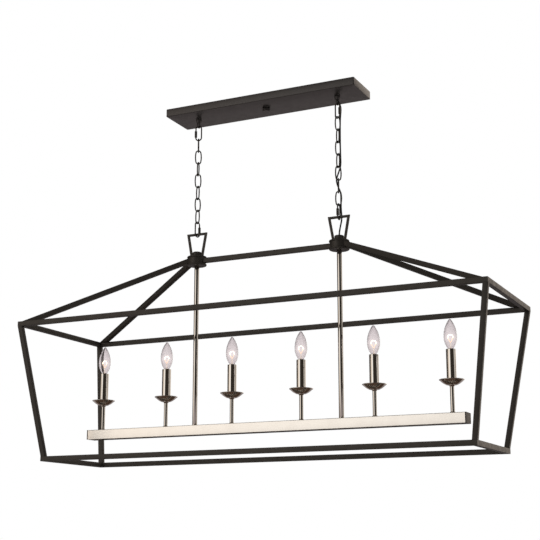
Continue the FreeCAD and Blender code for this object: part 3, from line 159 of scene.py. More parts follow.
def arc_points(centre: Pair, radius: float, start: float, end: float, steps: int) -> np.ndarray:
    """Points at an even angle on a circle, from one angle to another in degrees."""
    angle = np.radians(np.linspace(start, end, steps + 1))
    return np.stack([centre[0] + radius * np.cos(angle), centre[1] + radius * np.sin(angle)], axis=1)


def skin(points: np.ndarray, loop: bool = False) -> Surface:
    """Closed surface over a grid of points whose columns run round.

    Each cell of the grid is one quad. Rows either close on themselves, or the first and the last row are
    each closed by triangles to their own middle. The signed volume decides which way all faces look.

    Args:
        points: grid of rows, columns and coordinates.
        loop: whether the last row joins the first.

    Returns:
        Vertices and faces.
    """
    rows, columns = points.shape[:2]
    index = np.arange(rows * columns).reshape(rows, columns)
    after = np.roll(index, -1, axis=1)
    if loop:
        quads = np.stack([index, after, np.roll(after, -1, axis=0), np.roll(index, -1, axis=0)], axis=-1)
        vertices = points.reshape(-1, 3)
        triangles = np.zeros((0, 3), int)
    else:
        quads = np.stack([index[:-1], after[:-1], after[1:], index[1:]], axis=-1)
        vertices = np.concatenate([points.reshape(-1, 3), points[[0, -1]].mean(1)])
        first = np.full(columns, rows * columns)
        triangles = np.concatenate([
            np.stack([first, after[0], index[0]], axis=1),
            np.stack([first + 1, index[-1], after[-1]], axis=1),
        ])
    quads = quads.reshape(-1, 4)
    split = np.concatenate([quads[:, [0, 1, 2]], quads[:, [0, 2, 3]], triangles])
    a, b, c = (vertices[split[:, k]] - vertices.mean(0) for k in range(3))
    if (a * np.cross(b, c)).sum() < 0:
        quads = quads[:, ::-1]
        triangles = triangles[:, ::-1]
    return vertices, quads.tolist() + triangles.tolist()


def together(surfaces: list[Surface]) -> Surface:
    """Several surfaces as one, their faces renumbered.

    Args:
        surfaces: the surfaces, in order.

    Returns:
        Vertices and faces.
    """
    faces = []
    count = 0
    for points, cells in surfaces:
        faces += [[corner + count for corner in cell] for cell in cells]
        count += len(points)
    return np.concatenate([points for points, cells in surfaces]), faces


def moved(surface: Surface, x: float = 0.0, y: float = 0.0, z: float = 0.0, turn: float = 0.0) -> Surface:
    """A surface turned about Z, then shifted.

    Args:
        surface: the surface.
        x, y, z: its shift.
        turn: its turn in degrees.

    Returns:
        Vertices and faces.
    """
    cos, sin = math.cos(math.radians(turn)), math.sin(math.radians(turn))
    spin = np.array([[cos, sin, 0], [-sin, cos, 0], [0, 0, 1]])
    return surface[0] @ spin + np.array([x, y, z]), surface[1]


def lathe(profile: np.ndarray, segments: int = 64, loop: bool = True) -> Surface:
    """Profile of radius and height turned about Z."""
    return skin(polar(profile[:, :1], around(segments), profile[:, 1:]), loop)


def tube(path: np.ndarray, across: np.ndarray | Triple, radius: np.ndarray | float, sides: int = 14,
         loop: bool = False) -> Surface:
    """Round tube along a path.

    At each point the first axis is the given one without its part along the tangent, and the second is
    square to both. A ring is the point plus r cos a on the first axis plus r sin a on the second.

    Args:
        path: points of the centre line.
        across: a direction that never runs along the path, one for all points or one each.
        radius: radius, one for all points or one each.
        sides: corners of each ring.
        loop: whether the path closes on itself.

    Returns:
        Vertices and faces.
    """
    if loop:
        along = unit(np.roll(path, -1, axis=0) - np.roll(path, 1, axis=0))
    else:
        along = unit(np.gradient(path, axis=0))
    across = np.broadcast_to(across, path.shape)
    first = unit(across - (across * along).sum(1, keepdims=True) * along)
    second = np.cross(along, first)
    angle = around(sides)[None, :, None]
    ring = np.cos(angle) * first[:, None] + np.sin(angle) * second[:, None]
    return skin(path[:, None] + np.broadcast_to(radius, len(path))[:, None, None] * ring, loop)


@dataclass(frozen=True)
class CutPlane:
    """Plane that ends a bar."""

    point: Triple
    normal: Triple

    def reach(self, start: np.ndarray, way: np.ndarray) -> np.ndarray:
        """Distance along the bar to the plane: the gap along the normal over the way's share of it."""
        normal = np.array(self.normal, float)
        return ((np.array(self.point, float) - start) @ normal) / (way @ normal)


@dataclass(frozen=True)
class CutDrum:
    """Upright cylinder that a bar's end is coped to, where the bar leaves it or else where it meets it."""

    x: float
    radius: float
    leaves: bool = True

    def reach(self, start: np.ndarray, way: np.ndarray) -> np.ndarray:
        """Larger or smaller root of the circle equation for the point's distance from the drum's axis.

        Args:
            start: points that the bar's lines start from.
            way: direction of the bar.

        Returns:
            Distance along the bar for each line.
        """
        flat = start[:, :2] - np.array([self.x, 0.0])
        a = (way[:2] ** 2).sum()
        b = flat @ way[:2]
        c = (flat ** 2).sum(1) - self.radius ** 2
        root = np.sqrt(b * b - a * c)
        return (root - b if self.leaves else -root - b) / a


def bar(outline: np.ndarray, middle: np.ndarray, axes: tuple, way: np.ndarray, ends: tuple) -> Surface:
    """Straight bar cut at both ends.

    Each point of the outline gives a line: middle plus its two coordinates on the two axes, and then
    along the way. Each line runs from one end's cut to the other's in even spans.

    Args:
        outline: points of the section.
        middle: point on the bar's axis.
        axes: axes of the outline's two coordinates.
        way: direction of the bar.
        ends: two cuts.

    Returns:
        Vertices and faces.
    """
    lines = middle + outline @ np.array(axes)
    near, far = (end.reach(lines, way) for end in ends)
    share = np.linspace(0, 1, 13)[:, None]
    distance = near * (1 - share) + far * share
    return skin(lines[None] + distance[..., None] * way)


# Finishes


@dataclass(frozen=True)
class NodePen:
    """Short way to write a node tree. A term is a socket to link from, a number, a vector or a colour."""

    tree: bpy.types.NodeTree

    def give(self, socket: Socket, term: object) -> None:
        """Link a term that is a socket to an input, or else write it there; a colour gets its alpha.

        Args:
            socket: the input.
            term: what it gets.
        """
        if isinstance(term, Socket):
            self.tree.links.new(term, socket)
        else:
            socket.default_value = (*term, 1.0) if socket.type == "RGBA" else term

    def feed(self, node: bpy.types.Node, **terms: object) -> None:
        """Give terms to a node's inputs by name, or else set its properties.

        Args:
            node: the node.
            terms: terms by name; an underscore stands for a space in an input's name.
        """
        for key, term in terms.items():
            socket = node.inputs.get(key.replace("_", " "))
            if socket is None:
                setattr(node, key, term)
            else:
                self.give(socket, term)

    def add(self, kind: str, *terms: object, **named: object) -> bpy.types.Node:
        """New node, fed by name and then with terms for its inputs in order.

        Args:
            kind: the node's type.
            terms: terms for its inputs in order.
            named: terms by name, as for feed.

        Returns:
            The new node.
        """
        node = self.tree.nodes.new(kind)
        self.feed(node, **named)
        for socket, term in zip(node.inputs, terms):
            self.give(socket, term)
        return node

    def math(self, operation: str, *terms: object) -> Socket:
        """Result of a sum on one or two terms."""
        return self.add("ShaderNodeMath", *terms, operation=operation).outputs[0]

    def span(self, value: object, start: float, end: float, low: float = 0.0, high: float = 1.0,
             kind: str = "LINEAR") -> Socket:
        """A value's place between start and end, as a number from low to high, held at both."""
        node = self.add("ShaderNodeMapRange", value, start, end, low, high, interpolation_type=kind)
        return node.outputs[0]

    def mix(self, share: object, here: object, there: object) -> Socket:
        """Mix of two colours by a share.

        Args:
            share: part that the second colour has.
            here: first colour.
            there: second colour.

        Returns:
            The mixed colour.
        """
        node = self.add("ShaderNodeMix", share, data_type="RGBA")
        self.give(node.inputs[6], here)
        self.give(node.inputs[7], there)
        return node.outputs[2]

    def choose(self, share: object, first: object, second: object) -> Socket:
        """Mix of two shaders by a share."""
        return self.add("ShaderNodeMixShader", share, first, second).outputs[0]

    def height(self) -> Socket:
        """Height in the piece's own coordinates."""
        where = self.add("ShaderNodeTexCoord").outputs["Object"]
        return self.add("ShaderNodeSeparateXYZ", where).outputs["Z"]

    def seen(self, light: bpy.types.bpy_prop_collection) -> Socket:
        """One for what the camera sees, straight or through glass, from the outputs of a Light Path."""
        return self.math("MAXIMUM", light["Is Camera Ray"], light["Is Transmission Ray"])


@dataclass(frozen=True)
class Layer:
    """One noise of a shared group: its output, the input for its scale, and its character."""

    output: str
    entry: str
    scale: float
    detail: float
    roughness: float = 0.55
    stretch: Triple = (1.0, 1.0, 1.0)


def noise_group(name: str, *layers: Layer) -> bpy.types.NodeTree:
    """Node group of noises in the piece's own coordinates, made once.

    Args:
        name: the group's name.
        layers: its noises.

    Returns:
        The group.
    """
    if name in bpy.data.node_groups:
        return bpy.data.node_groups[name]
    group = bpy.data.node_groups.new(name, "ShaderNodeTree")
    for layer in layers:
        socket = group.interface.new_socket(layer.entry, in_out="INPUT", socket_type="NodeSocketFloat")
        socket.default_value = layer.scale
        group.interface.new_socket(layer.output, in_out="OUTPUT", socket_type="NodeSocketFloat")
    pen = NodePen(group)
    entry = pen.add("NodeGroupInput")
    leave = pen.add("NodeGroupOutput")
    where = pen.add("ShaderNodeTexCoord").outputs["Object"]
    for layer in layers:
        place = pen.add("ShaderNodeMapping", Vector=where, Scale=layer.stretch).outputs[0]
        noise = pen.add("ShaderNodeTexNoise", Vector=place, Scale=entry.outputs[layer.entry],
                        Detail=layer.detail, Roughness=layer.roughness)
        pen.give(leave.inputs[layer.output], noise.outputs["Fac"])
    return group


def grain_group() -> bpy.types.NodeTree:
    """Painted and moulded surfaces: slow Patches of tone, a Haze for roughness and a Grain height."""
    return noise_group("SurfaceGrain", Layer("Patches", "Patch Scale", 18.0, 3.0),
                       Layer("Haze", "Haze Scale", 60.0, 4.0), Layer("Grain", "Grain Scale", 900.0, 2.0))


def rub_group() -> bpy.types.NodeTree:
    """Polished metal: Hairlines that run mostly round an upright piece, and a cloudy Film."""
    return noise_group("PolishMarks", Layer("Hairlines", "Line Scale", 260.0, 6.0, 0.7, (0.12, 0.12, 4.0)),
                       Layer("Film", "Film Scale", 35.0, 3.0, 0.5))


@dataclass(frozen=True)
class Finish:
    """Named finish, made into a material once."""

    name: str

    def material(self) -> bpy.types.Material:
        """The finish as a material.

        Returns:
            The material.
        """
        if self.name in bpy.data.materials:
            return bpy.data.materials[self.name]
        material = bpy.data.materials.new(self.name)
        material.use_nodes = True
        pen = NodePen(material.node_tree)
        self.draw(pen, pen.tree.nodes["Principled BSDF"])
        return material

    def draw(self, pen: NodePen, shader: bpy.types.Node) -> None:
        """Write the finish's nodes round the material's shader."""
        raise NotImplementedError


@dataclass(frozen=True)
class Coat(Finish):
    """Painted, plated or moulded finish with slow patches of tone, uneven gloss and a fine grain."""

    dark: Triple
    light: Triple
    rough: Pair
    metallic: float = 0.0
    grain: float = 0.00003
    grain_scale: float = 900.0
    specular: float = 0.5
    edge: float = 1.0

    def draw(self, pen: NodePen, shader: bpy.types.Node) -> None:
        """Tone, roughness and bump from the shared grain.

        Args:
            pen: pen for the material's tree.
            shader: its principled shader.
        """
        marks = pen.add("ShaderNodeGroup", node_tree=grain_group(), Grain_Scale=self.grain_scale).outputs
        bump = pen.add("ShaderNodeBump", Strength=0.5, Distance=self.grain, Height=marks["Grain"])
        pen.feed(shader, Metallic=self.metallic, Specular_IOR_Level=self.specular,
                 Specular_Tint=(self.edge, self.edge, self.edge), Normal=bump.outputs["Normal"],
                 Base_Color=pen.mix(marks["Patches"], self.dark, self.light),
                 Roughness=pen.span(marks["Haze"], 0.3, 0.7, *self.rough))


@dataclass(frozen=True)
class Polish(Finish):
    """Polished metal with hairlines from the wheel and a faint film."""

    color: Triple
    film_color: Triple
    rough: Pair = (0.05, 0.13)
    bump: float = 0.00001

    def draw(self, pen: NodePen, shader: bpy.types.Node) -> None:
        """Tone and roughness from the film, bump from the hairlines.

        Args:
            pen: pen for the material's tree.
            shader: its principled shader.
        """
        marks = pen.add("ShaderNodeGroup", node_tree=rub_group()).outputs
        bump = pen.add("ShaderNodeBump", Strength=0.15, Distance=self.bump, Height=marks["Hairlines"])
        pen.feed(shader, Metallic=1.0, Base_Color=pen.mix(marks["Film"], self.color, self.film_color),
                 Roughness=pen.span(marks["Film"], 0.35, 0.7, *self.rough), Normal=bump.outputs["Normal"])


@dataclass(frozen=True)
class ClearGlass(Finish):
    """Blown glass with slight waves and a faint tint, deeper at the tip and where it is seen edge on.

    A soft glow round the height of the lit filament is painted light: emission that stands for the light
    that the glass scatters. The places along the bulb and the glow's reach are in millimetres.
    """

    tint: Triple
    rim: Triple
    tip_tint: Triple
    tip_rim: Triple
    shoulder: float
    tip: float
    haze_z: float
    haze_reach: float
    haze: float
    haze_color: Triple = (1.0, 0.93, 0.87)
    wave: float = 0.00004
    wave_scale: float = 70.0
    refraction: float = 1.48

    def draw(self, pen: NodePen, shader: bpy.types.Node) -> None:
        """Tint by height and by facing, a painted glow by nearness to the filament, waves from the shared
        grain.

        Args:
            pen: pen for the material's tree.
            shader: its principled shader.
        """
        height = pen.height()
        level = pen.span(height, self.shoulder * MM, self.tip * MM)
        facing = pen.add("ShaderNodeLayerWeight", Blend=0.3).outputs["Facing"]
        flat = pen.mix(level, self.tint, self.tip_tint)
        edge = pen.mix(level, self.rim, self.tip_rim)
        # Painted glow: the glass emits light round the filament's height, less where it is seen edge on.
        away = pen.math("ABSOLUTE", pen.math("SUBTRACT", height, self.haze_z * MM))
        near = pen.span(away, self.haze_reach * MM, 0.0, 0.0, self.haze, "SMOOTHSTEP")
        marks = pen.add("ShaderNodeGroup", node_tree=grain_group(), Grain_Scale=self.wave_scale).outputs
        bump = pen.add("ShaderNodeBump", Strength=0.2, Distance=self.wave, Height=marks["Grain"])
        pen.feed(shader, Roughness=0.02, IOR=self.refraction, Transmission_Weight=1.0,
                 Base_Color=pen.mix(facing, flat, edge), Normal=bump.outputs["Normal"],
                 Emission_Color=self.haze_color,
                 Emission_Strength=pen.math("MULTIPLY", near, pen.math("SUBTRACT", 1.0, facing)))


@dataclass(frozen=True)
class Glow(Finish):
    """Glowing wire, hottest in colour at its high end and orange at its low end; it glows in direct view
    only.
    On the filament the glow is the lamp's own light; on the lead wires it is painted light.

    Both ends are heights in millimetres.
    """

    hot: Triple
    warm: Triple
    low: float
    high: float
    strength: float
    wire: Triple = (0.6, 0.45, 0.3)

    def draw(self, pen: NodePen, shader: bpy.types.Node) -> None:
        """Glow's colour by height, its strength none after a diffuse or glossy bounce.

        Args:
            pen: pen for the material's tree.
            shader: its principled shader.
        """
        light = pen.add("ShaderNodeLightPath").outputs
        bounces = pen.math("ADD", light["Diffuse Depth"], light["Glossy Depth"])
        direct = pen.math("LESS_THAN", bounces, 0.5)
        level = pen.span(pen.height(), self.low * MM, self.high * MM)
        pen.feed(shader, Base_Color=self.wire, Roughness=0.5,
                 Emission_Color=pen.mix(level, self.warm, self.hot),
                 Emission_Strength=pen.math("MULTIPLY", direct, self.strength))


@dataclass(frozen=True)
class Paper(Finish):
    """Pale floor, lifted to white for the camera and for glass; gloss mirrors its middle as dim and warm."""

    mirrored: Triple
    far_mirrored: Triple
    near: float = 2.6
    far: float = 4.6
    lift: float = 0.35
    color: Triple = (0.8, 0.8, 0.8)

    def draw(self, pen: NodePen, shader: bpy.types.Node) -> None:
        """Plain paper, and for gloss an even colour by the distance from the floor's middle.

        Args:
            pen: pen for the material's tree.
            shader: its principled shader.
        """
        light = pen.add("ShaderNodeLightPath").outputs
        lift = pen.math("MULTIPLY", pen.seen(light), self.lift)
        pen.feed(shader, Base_Color=self.color, Roughness=0.9, Specular_IOR_Level=0.1, Emission_Color=WHITE,
                 Emission_Strength=lift)
        where = pen.add("ShaderNodeTexCoord").outputs["Object"]
        level = pen.add("ShaderNodeVectorMath", where, X_WAY + Y_WAY, operation="MULTIPLY").outputs[0]
        reach = pen.add("ShaderNodeVectorMath", level, operation="LENGTH").outputs["Value"]
        tone = pen.mix(pen.span(reach, self.near, self.far), self.mirrored, self.far_mirrored)
        gloss = pen.add("ShaderNodeEmission", Color=tone, Strength=1.0).outputs[0]
        pen.give(pen.tree.nodes["Material Output"].inputs["Surface"],
                 pen.choose(light["Is Glossy Ray"], shader.outputs[0], gloss))


@dataclass(frozen=True)
class Palette:
    """Every finish of the pendant."""

    bronze: Coat = Coat("DarkBronze", (0.029, 0.025, 0.021), (0.039, 0.034, 0.029), rough=(0.3, 0.42),
                        metallic=0.35, grain=0.00002, specular=0.3, edge=0.45)
    # Lighter copy of the dark bronze, with a fuller sheen at grazing angles: painted light on the canopy.
    canopy_bronze: Coat = Coat("CanopyBronze", (0.036, 0.031, 0.029), (0.042, 0.037, 0.034),
                               rough=(0.3, 0.36), metallic=0.5, grain=0.00001)
    nickel: Polish = Polish("PolishedNickel", (0.75, 0.71, 0.655), (0.7, 0.655, 0.6))
    # Darker copy of the polished nickel for the rods and the candle stems: painted shade.
    rod_nickel: Polish = Polish("DrawnNickel", (0.7, 0.66, 0.61), (0.65, 0.61, 0.56), rough=(0.03, 0.09))
    bar_nickel: Polish = Polish("SatinNickel", (0.93, 0.89, 0.83), (0.918, 0.875, 0.812),
                                rough=(0.34, 0.36), bump=0.000003)
    steel: Coat = Coat("ZincPlate", (0.5, 0.5, 0.49), (0.66, 0.66, 0.64), rough=(0.28, 0.45), metallic=1.0,
                       grain=0.00002, grain_scale=1400.0)
    green: Coat = Coat("GreenPlate", (0.03, 0.2, 0.07), (0.05, 0.3, 0.1), rough=(0.3, 0.45), metallic=0.8)
    cord: Coat = Coat("CordJacket", (0.008, 0.008, 0.008), (0.014, 0.014, 0.013), rough=(0.4, 0.55),
                      grain=0.00004, grain_scale=1300.0, specular=0.25, edge=0.5)
    socket: Coat = Coat("SocketPhenolic", (0.012, 0.011, 0.01), (0.03, 0.027, 0.025), rough=(0.35, 0.5))
    wire: Coat = Coat("WireInsulation", (0.68, 0.67, 0.63), (0.8, 0.79, 0.75), rough=(0.4, 0.5))
    brass: Coat = Coat("BaseBrass", (0.5, 0.38, 0.18), (0.68, 0.53, 0.28), rough=(0.2, 0.4), metallic=1.0,
                       grain=0.00001, grain_scale=1500.0)
    solder: Coat = Coat("SolderTin", (0.55, 0.55, 0.54), (0.7, 0.7, 0.69), rough=(0.3, 0.5), metallic=1.0,
                        grain=0.00008, grain_scale=700.0)
    vitrite: Coat = Coat("BlackVitrite", (0.006, 0.006, 0.008), (0.012, 0.012, 0.014), rough=(0.1, 0.2))
    # Both glasses carry a painted glow round the filament's height: emission that stands for scattered light.
    glass: ClearGlass = ClearGlass(
        "BulbGlass", tint=(0.885, 0.84, 0.845), rim=(0.4, 0.36, 0.37), tip_tint=(0.84, 0.795, 0.805),
        tip_rim=(0.05, 0.045, 0.045), shoulder=-668.0, tip=-633.0, haze_z=-677.0, haze_reach=13.0, haze=0.035)
    mount: ClearGlass = ClearGlass(
        "MountGlass", tint=(0.93, 0.88, 0.8), rim=(0.75, 0.6, 0.4), tip_tint=(0.93, 0.88, 0.8),
        tip_rim=(0.75, 0.6, 0.4), shoulder=-703.0, tip=-687.0, haze_z=-690.0, haze_reach=16.0, haze=0.12)
    # The lead wires are no lamp: their glow is painted light.
    leads: Glow = Glow("WarmLeads", (1.0, 0.62, 0.3), (0.95, 0.42, 0.16), low=-700.0, high=-680.0,
                       strength=2.2)
    filament: Glow = Glow("LitFilament", (1.0, 0.84, 0.64), (1.0, 0.6, 0.3), low=-682.0, high=-672.0,
                          strength=5.0)


# Pieces


def new_piece(name: str, surface: Surface, finish: Finish, crease: float = 32.0) -> bpy.types.Object:
    """Object of a surface, smooth but for its sharp edges.

    Args:
        name: the object's name.
        surface: vertices in millimetres, and faces.
        finish: its finish.
        crease: edges that fold by more degrees than this stay sharp.

    Returns:
        The object.
    """
    mesh = bpy.data.meshes.new(name)
    mesh.from_pydata((surface[0] * MM).tolist(), [], surface[1])
    mesh.polygons.foreach_set("use_smooth", np.ones(len(mesh.polygons), bool))
    mesh.set_sharp_from_angle(angle=math.radians(crease))
    mesh.materials.append(finish.material())
    mesh.update()
    piece = bpy.data.objects.new(name, mesh)
    bpy.context.scene.collection.objects.link(piece)
    LOG.info("%s: %d faces", name, len(mesh.polygons))
    return piece


def put(name: str, surface: Surface, finish: Finish, body: str, slot: Slot, *nodes: str) -> None:
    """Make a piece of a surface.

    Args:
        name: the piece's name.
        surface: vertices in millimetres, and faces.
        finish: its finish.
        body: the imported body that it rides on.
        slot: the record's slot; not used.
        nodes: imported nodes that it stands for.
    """
    piece = new_piece(name, surface, finish)
    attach(piece, body)
    if nodes:
        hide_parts(*nodes)


def stand_in(node: str, surface: Surface, finish: Finish, body: str = "cage",
             slot: Slot = Slot.BRONZE) -> None:
    """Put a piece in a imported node's place, and name it after the node."""
    put(node.title().replace("_", ""), surface, finish, body, slot, node)


def dress(finish: Finish, *nodes: str) -> None:
    """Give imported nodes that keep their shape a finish.

    Args:
        finish: the finish.
        nodes: the nodes.
    """
    for node in nodes:
        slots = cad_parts[node].data.materials
        slots.clear()
        slots.append(finish.material())
        LOG.info("%s: dressed", node)


@dataclass
class Canopy:
    """Ceiling canopy with its knob, its two chain loops and the hardware inside it."""

    palette: Palette
    underside: float = -21.0
    half_length: float = 274.0
    half_width: float = 59.0
    corner: float = 3.0
    wall: float = 1.2
    bend: float = 1.4
    inner_bend: float = 0.8
    rim: float = 0.3
    floor_end: float = 58.0
    knob_radius: float = 10.2
    knob_height: float = 9.0
    knob_edge: Pair = (1.4, 1.6)
    knob_bore: float = 4.88
    bore_end: float = 6.3
    nipple_radius: float = 4.8
    nipple_rise: float = 11.0
    collar_top: float = 7.75
    collar_foot: float = 6.2
    collar_height: float = 10.0
    bore: float = 3.0
    eye_radius: float = 6.6
    eye_wire: float = 2.0
    eye_z: float = -37.4

    def pan(self) -> Surface:
        """Open pan as rounded rectangles that shrink and grow along a folded section.

        The section runs up the outer side, over the rim, down the inner side and along the floor to its
        middle. At each of its points the rectangle lies inside the outer one by the point's inset, and its
        corners' radius is smaller by as much, down to a hair.

        Returns:
            Vertices and faces.
        """
        low, wall, rim = self.underside, self.wall, self.rim
        fold = np.concatenate([
            [[self.floor_end, low]],
            arc_points((self.bend, low + self.bend), self.bend, -90, -180, 5),
            arc_points((rim, -rim), rim, 180, 90, 2),
            arc_points((wall - rim, -rim), rim, 90, 0, 2),
            arc_points((wall + self.inner_bend, low + wall + self.inner_bend), self.inner_bend, 180, 270, 4),
            [[self.floor_end, low + wall]],
        ])
        inset = fold[:, :1]
        angle = np.radians(np.concatenate([np.linspace(q * 90, q * 90 + 90, 7) for q in range(4)]))
        sign_x = np.repeat([1, -1, -1, 1], 7)
        sign_y = np.repeat([1, 1, -1, -1], 7)
        radius = np.maximum(self.corner - inset, 0.05)
        x = sign_x * (self.half_length - inset - radius) + radius * np.cos(angle)
        y = sign_y * (self.half_width - inset - radius) + radius * np.sin(angle)
        return skin(grid(x, y, fold[:, 1:]))

    def knob(self) -> Surface:
        """Knob turned from a closed outline, with a soft lower edge and the stud's bore."""
        radius, low = self.knob_radius, -self.knob_height
        return moved(lathe(rounded_outline([
            (self.knob_bore, 0, 0), (radius - self.knob_edge[0], 0, 0.2), (radius, -self.knob_edge[1], 0.8),
            (radius, low, 1.4),
            (0.4, low, 0.1), (0.4, -self.bore_end, 0.1), (self.knob_bore, -self.bore_end, 0.1),
        ])), z=self.underside)

    def loop(self) -> Surface:
        """Collar turned from its outline, and a torus for the eye: a ring of wire in the YZ plane.

        Returns:
            Vertices and faces.
        """
        collar = lathe(rounded_outline([
            (self.bore, self.nipple_rise, 0), (self.nipple_radius, self.nipple_rise, 0.3),
            (self.nipple_radius, 0.05, 0), (self.collar_top, 0.0, 0.6), (self.collar_top - 0.2, -3.0, 1.0),
            (self.collar_foot, -self.collar_height, 1.2), (self.bore, -self.collar_height, 0.4),
        ]))
        angle = around(72)
        path = grid(0.0, self.eye_radius * np.cos(angle), self.eye_radius * np.sin(angle))
        eye = tube(path, (1, 0, 0), self.eye_wire, 20, True)
        return together([moved(collar, z=self.underside), moved(eye, z=self.eye_z)])

    def build(self) -> None:
        """Make the pan, the knob and the loops, and dress the hardware."""
        # The canopy takes the lighter copy of the bronze, which paints light on it.
        bronze = self.palette.canopy_bronze
        stand_in("canopy_pan", self.pan(), bronze, "canopy")
        stand_in("canopy_knob", self.knob(), bronze, "knob")
        for side in Side:
            stand_in("chain_loop_" + side.tag, moved(self.loop(), side.x), bronze, "canopy")
        dress(self.palette.steel, "mounting_strap", "canopy_stud", "canopy_lock_nuts")
        dress(self.palette.green, "ground_screw")


@dataclass
class ChainRun:
    """One chain: quick links with their nuts at both ends and seven welded oval links between.

    Turns are angles about the chain's axis in degrees.
    """

    palette: Palette
    side: Side
    top_turn: float
    link_turns: tuple[float, ...]
    bottom_turn: float
    quick_wire: float = 1.8
    quick_half: float = 7.9
    quick_straight: float = 12.5
    quick_gap: float = 4.5
    top_z: float = -60.3
    bottom_z: float = -331.7
    wire: float = 1.7
    half_width: float = 7.8
    half_length: float = 18.6
    tip: float = 6.6
    first_z: float = -95.5
    pitch: float = 33.5
    weld_length: float = 1.6
    weld_swell: float = 0.07
    nut_flats: float = 6.2
    nut_length: float = 18.0
    nut_drop: float = 2.4
    nut_gap: float = 0.08

    def plain_link(self) -> Surface:
        """Oval link: two tip arcs and two wider side arcs that meet in line.

        The side arcs' radius follows from the half width, the tip radius and the tip centre's height. The
        wire swells by a bell curve where it is welded, half way up one side.

        Returns:
            Vertices and faces.
        """
        rise = self.half_length - self.tip
        flank = (self.half_width ** 2 + rise ** 2 - self.tip ** 2) / (2 * (self.half_width - self.tip))
        lean = math.degrees(math.atan2(rise, flank - self.half_width))
        flat = np.concatenate([
            arc_points((self.half_width - flank, 0), flank, -lean, lean, 24)[:-1],
            arc_points((0, rise), self.tip, lean, 180 - lean, 20)[:-1],
            arc_points((flank - self.half_width, 0), flank, 180 - lean, 180 + lean, 24)[:-1],
            arc_points((0, -rise), self.tip, 180 + lean, 360 - lean, 20)[:-1],
        ])
        weld = np.exp(-(flat[:, 1] / self.weld_length) ** 2) * (flat[:, 0] > 0)
        radius = self.wire * (1 + self.weld_swell * weld)
        return tube(grid(flat[:, 0], 0.0, flat[:, 1]), (0, 1, 0), radius, 16, True)

    def quick_link(self) -> Surface:
        """Open wire of straight sides and half round ends; its gate on the +x side is left to the nut.

        Returns:
            Vertices and faces.
        """
        top, gap, side = self.quick_straight, self.quick_gap, self.quick_half
        upright = np.linspace(gap - self.nut_drop, top, 8)[:-1]
        down = np.linspace(top, -top, 14)[1:-1]
        back = np.linspace(-top, -gap - self.nut_drop, 8)[1:]
        flat = np.concatenate([
            np.stack([0 * upright + side, upright], axis=1),
            arc_points((0, top), side, 0, 180, 26),
            np.stack([0 * down - side, down], axis=1),
            arc_points((0, -top), side, 180, 360, 26),
            np.stack([0 * back + side, back], axis=1),
        ])
        return tube(grid(flat[:, 0], 0.0, flat[:, 1]), (0, 1, 0), self.quick_wire, 16)

    def nut(self) -> Surface:
        """Long hexagon nut.

        The radius at an angle is the smaller of the hexagon's, flats over two over the cosine of the angle
        to the nearest flat's middle, and the chamfer cone's at that height. The bore closes the section.

        Returns:
            Vertices and faces.
        """
        half = self.nut_length / 2
        angle = around(72)
        fold = (angle + math.pi / 6) % (math.pi / 3) - math.pi / 6
        hexagon = self.nut_flats / 2 / np.cos(fold)
        height = np.array([-half, -half + 0.4, -half + 0.9, half - 0.9, half - 0.4, half, half, -half])
        cone = np.array([3.0, 3.25, 3.6, 3.6, 3.25, 3.0])
        bore = np.full((2, 72), self.quick_wire + self.nut_gap)
        radius = np.concatenate([np.minimum(hexagon[None], cone[:, None]), bore])
        return skin(polar(radius, angle + math.pi / 2, height[:, None]), True)

    def build(self) -> None:
        """Make the links and nuts on their own bodies."""
        bronze, tag, x = self.palette.bronze, self.side.tag, self.side.x
        ends = (("top", self.top_turn, self.top_z), ("bottom", self.bottom_turn, self.bottom_z))
        for place, turn, z in ends:
            angle = math.radians(turn)
            gate = (x + self.quick_half * math.cos(angle), self.quick_half * math.sin(angle))
            link = "%s_link_%s" % (place, tag)
            stand_in(link, moved(self.quick_link(), x, 0, z, turn), bronze, link)
            nut = moved(self.nut(), *gate, z - self.nut_drop, turn)
            stand_in("%s_link_nut_%s" % (place, tag), nut, bronze, "%s_nut_%s" % (place, tag))
        links = [moved(self.plain_link(), x, 0, self.first_z - self.pitch * row, turn)
                 for row, turn in enumerate(self.link_turns)]
        stand_in("chain_" + tag, together(links), bronze, "chain_" + tag)


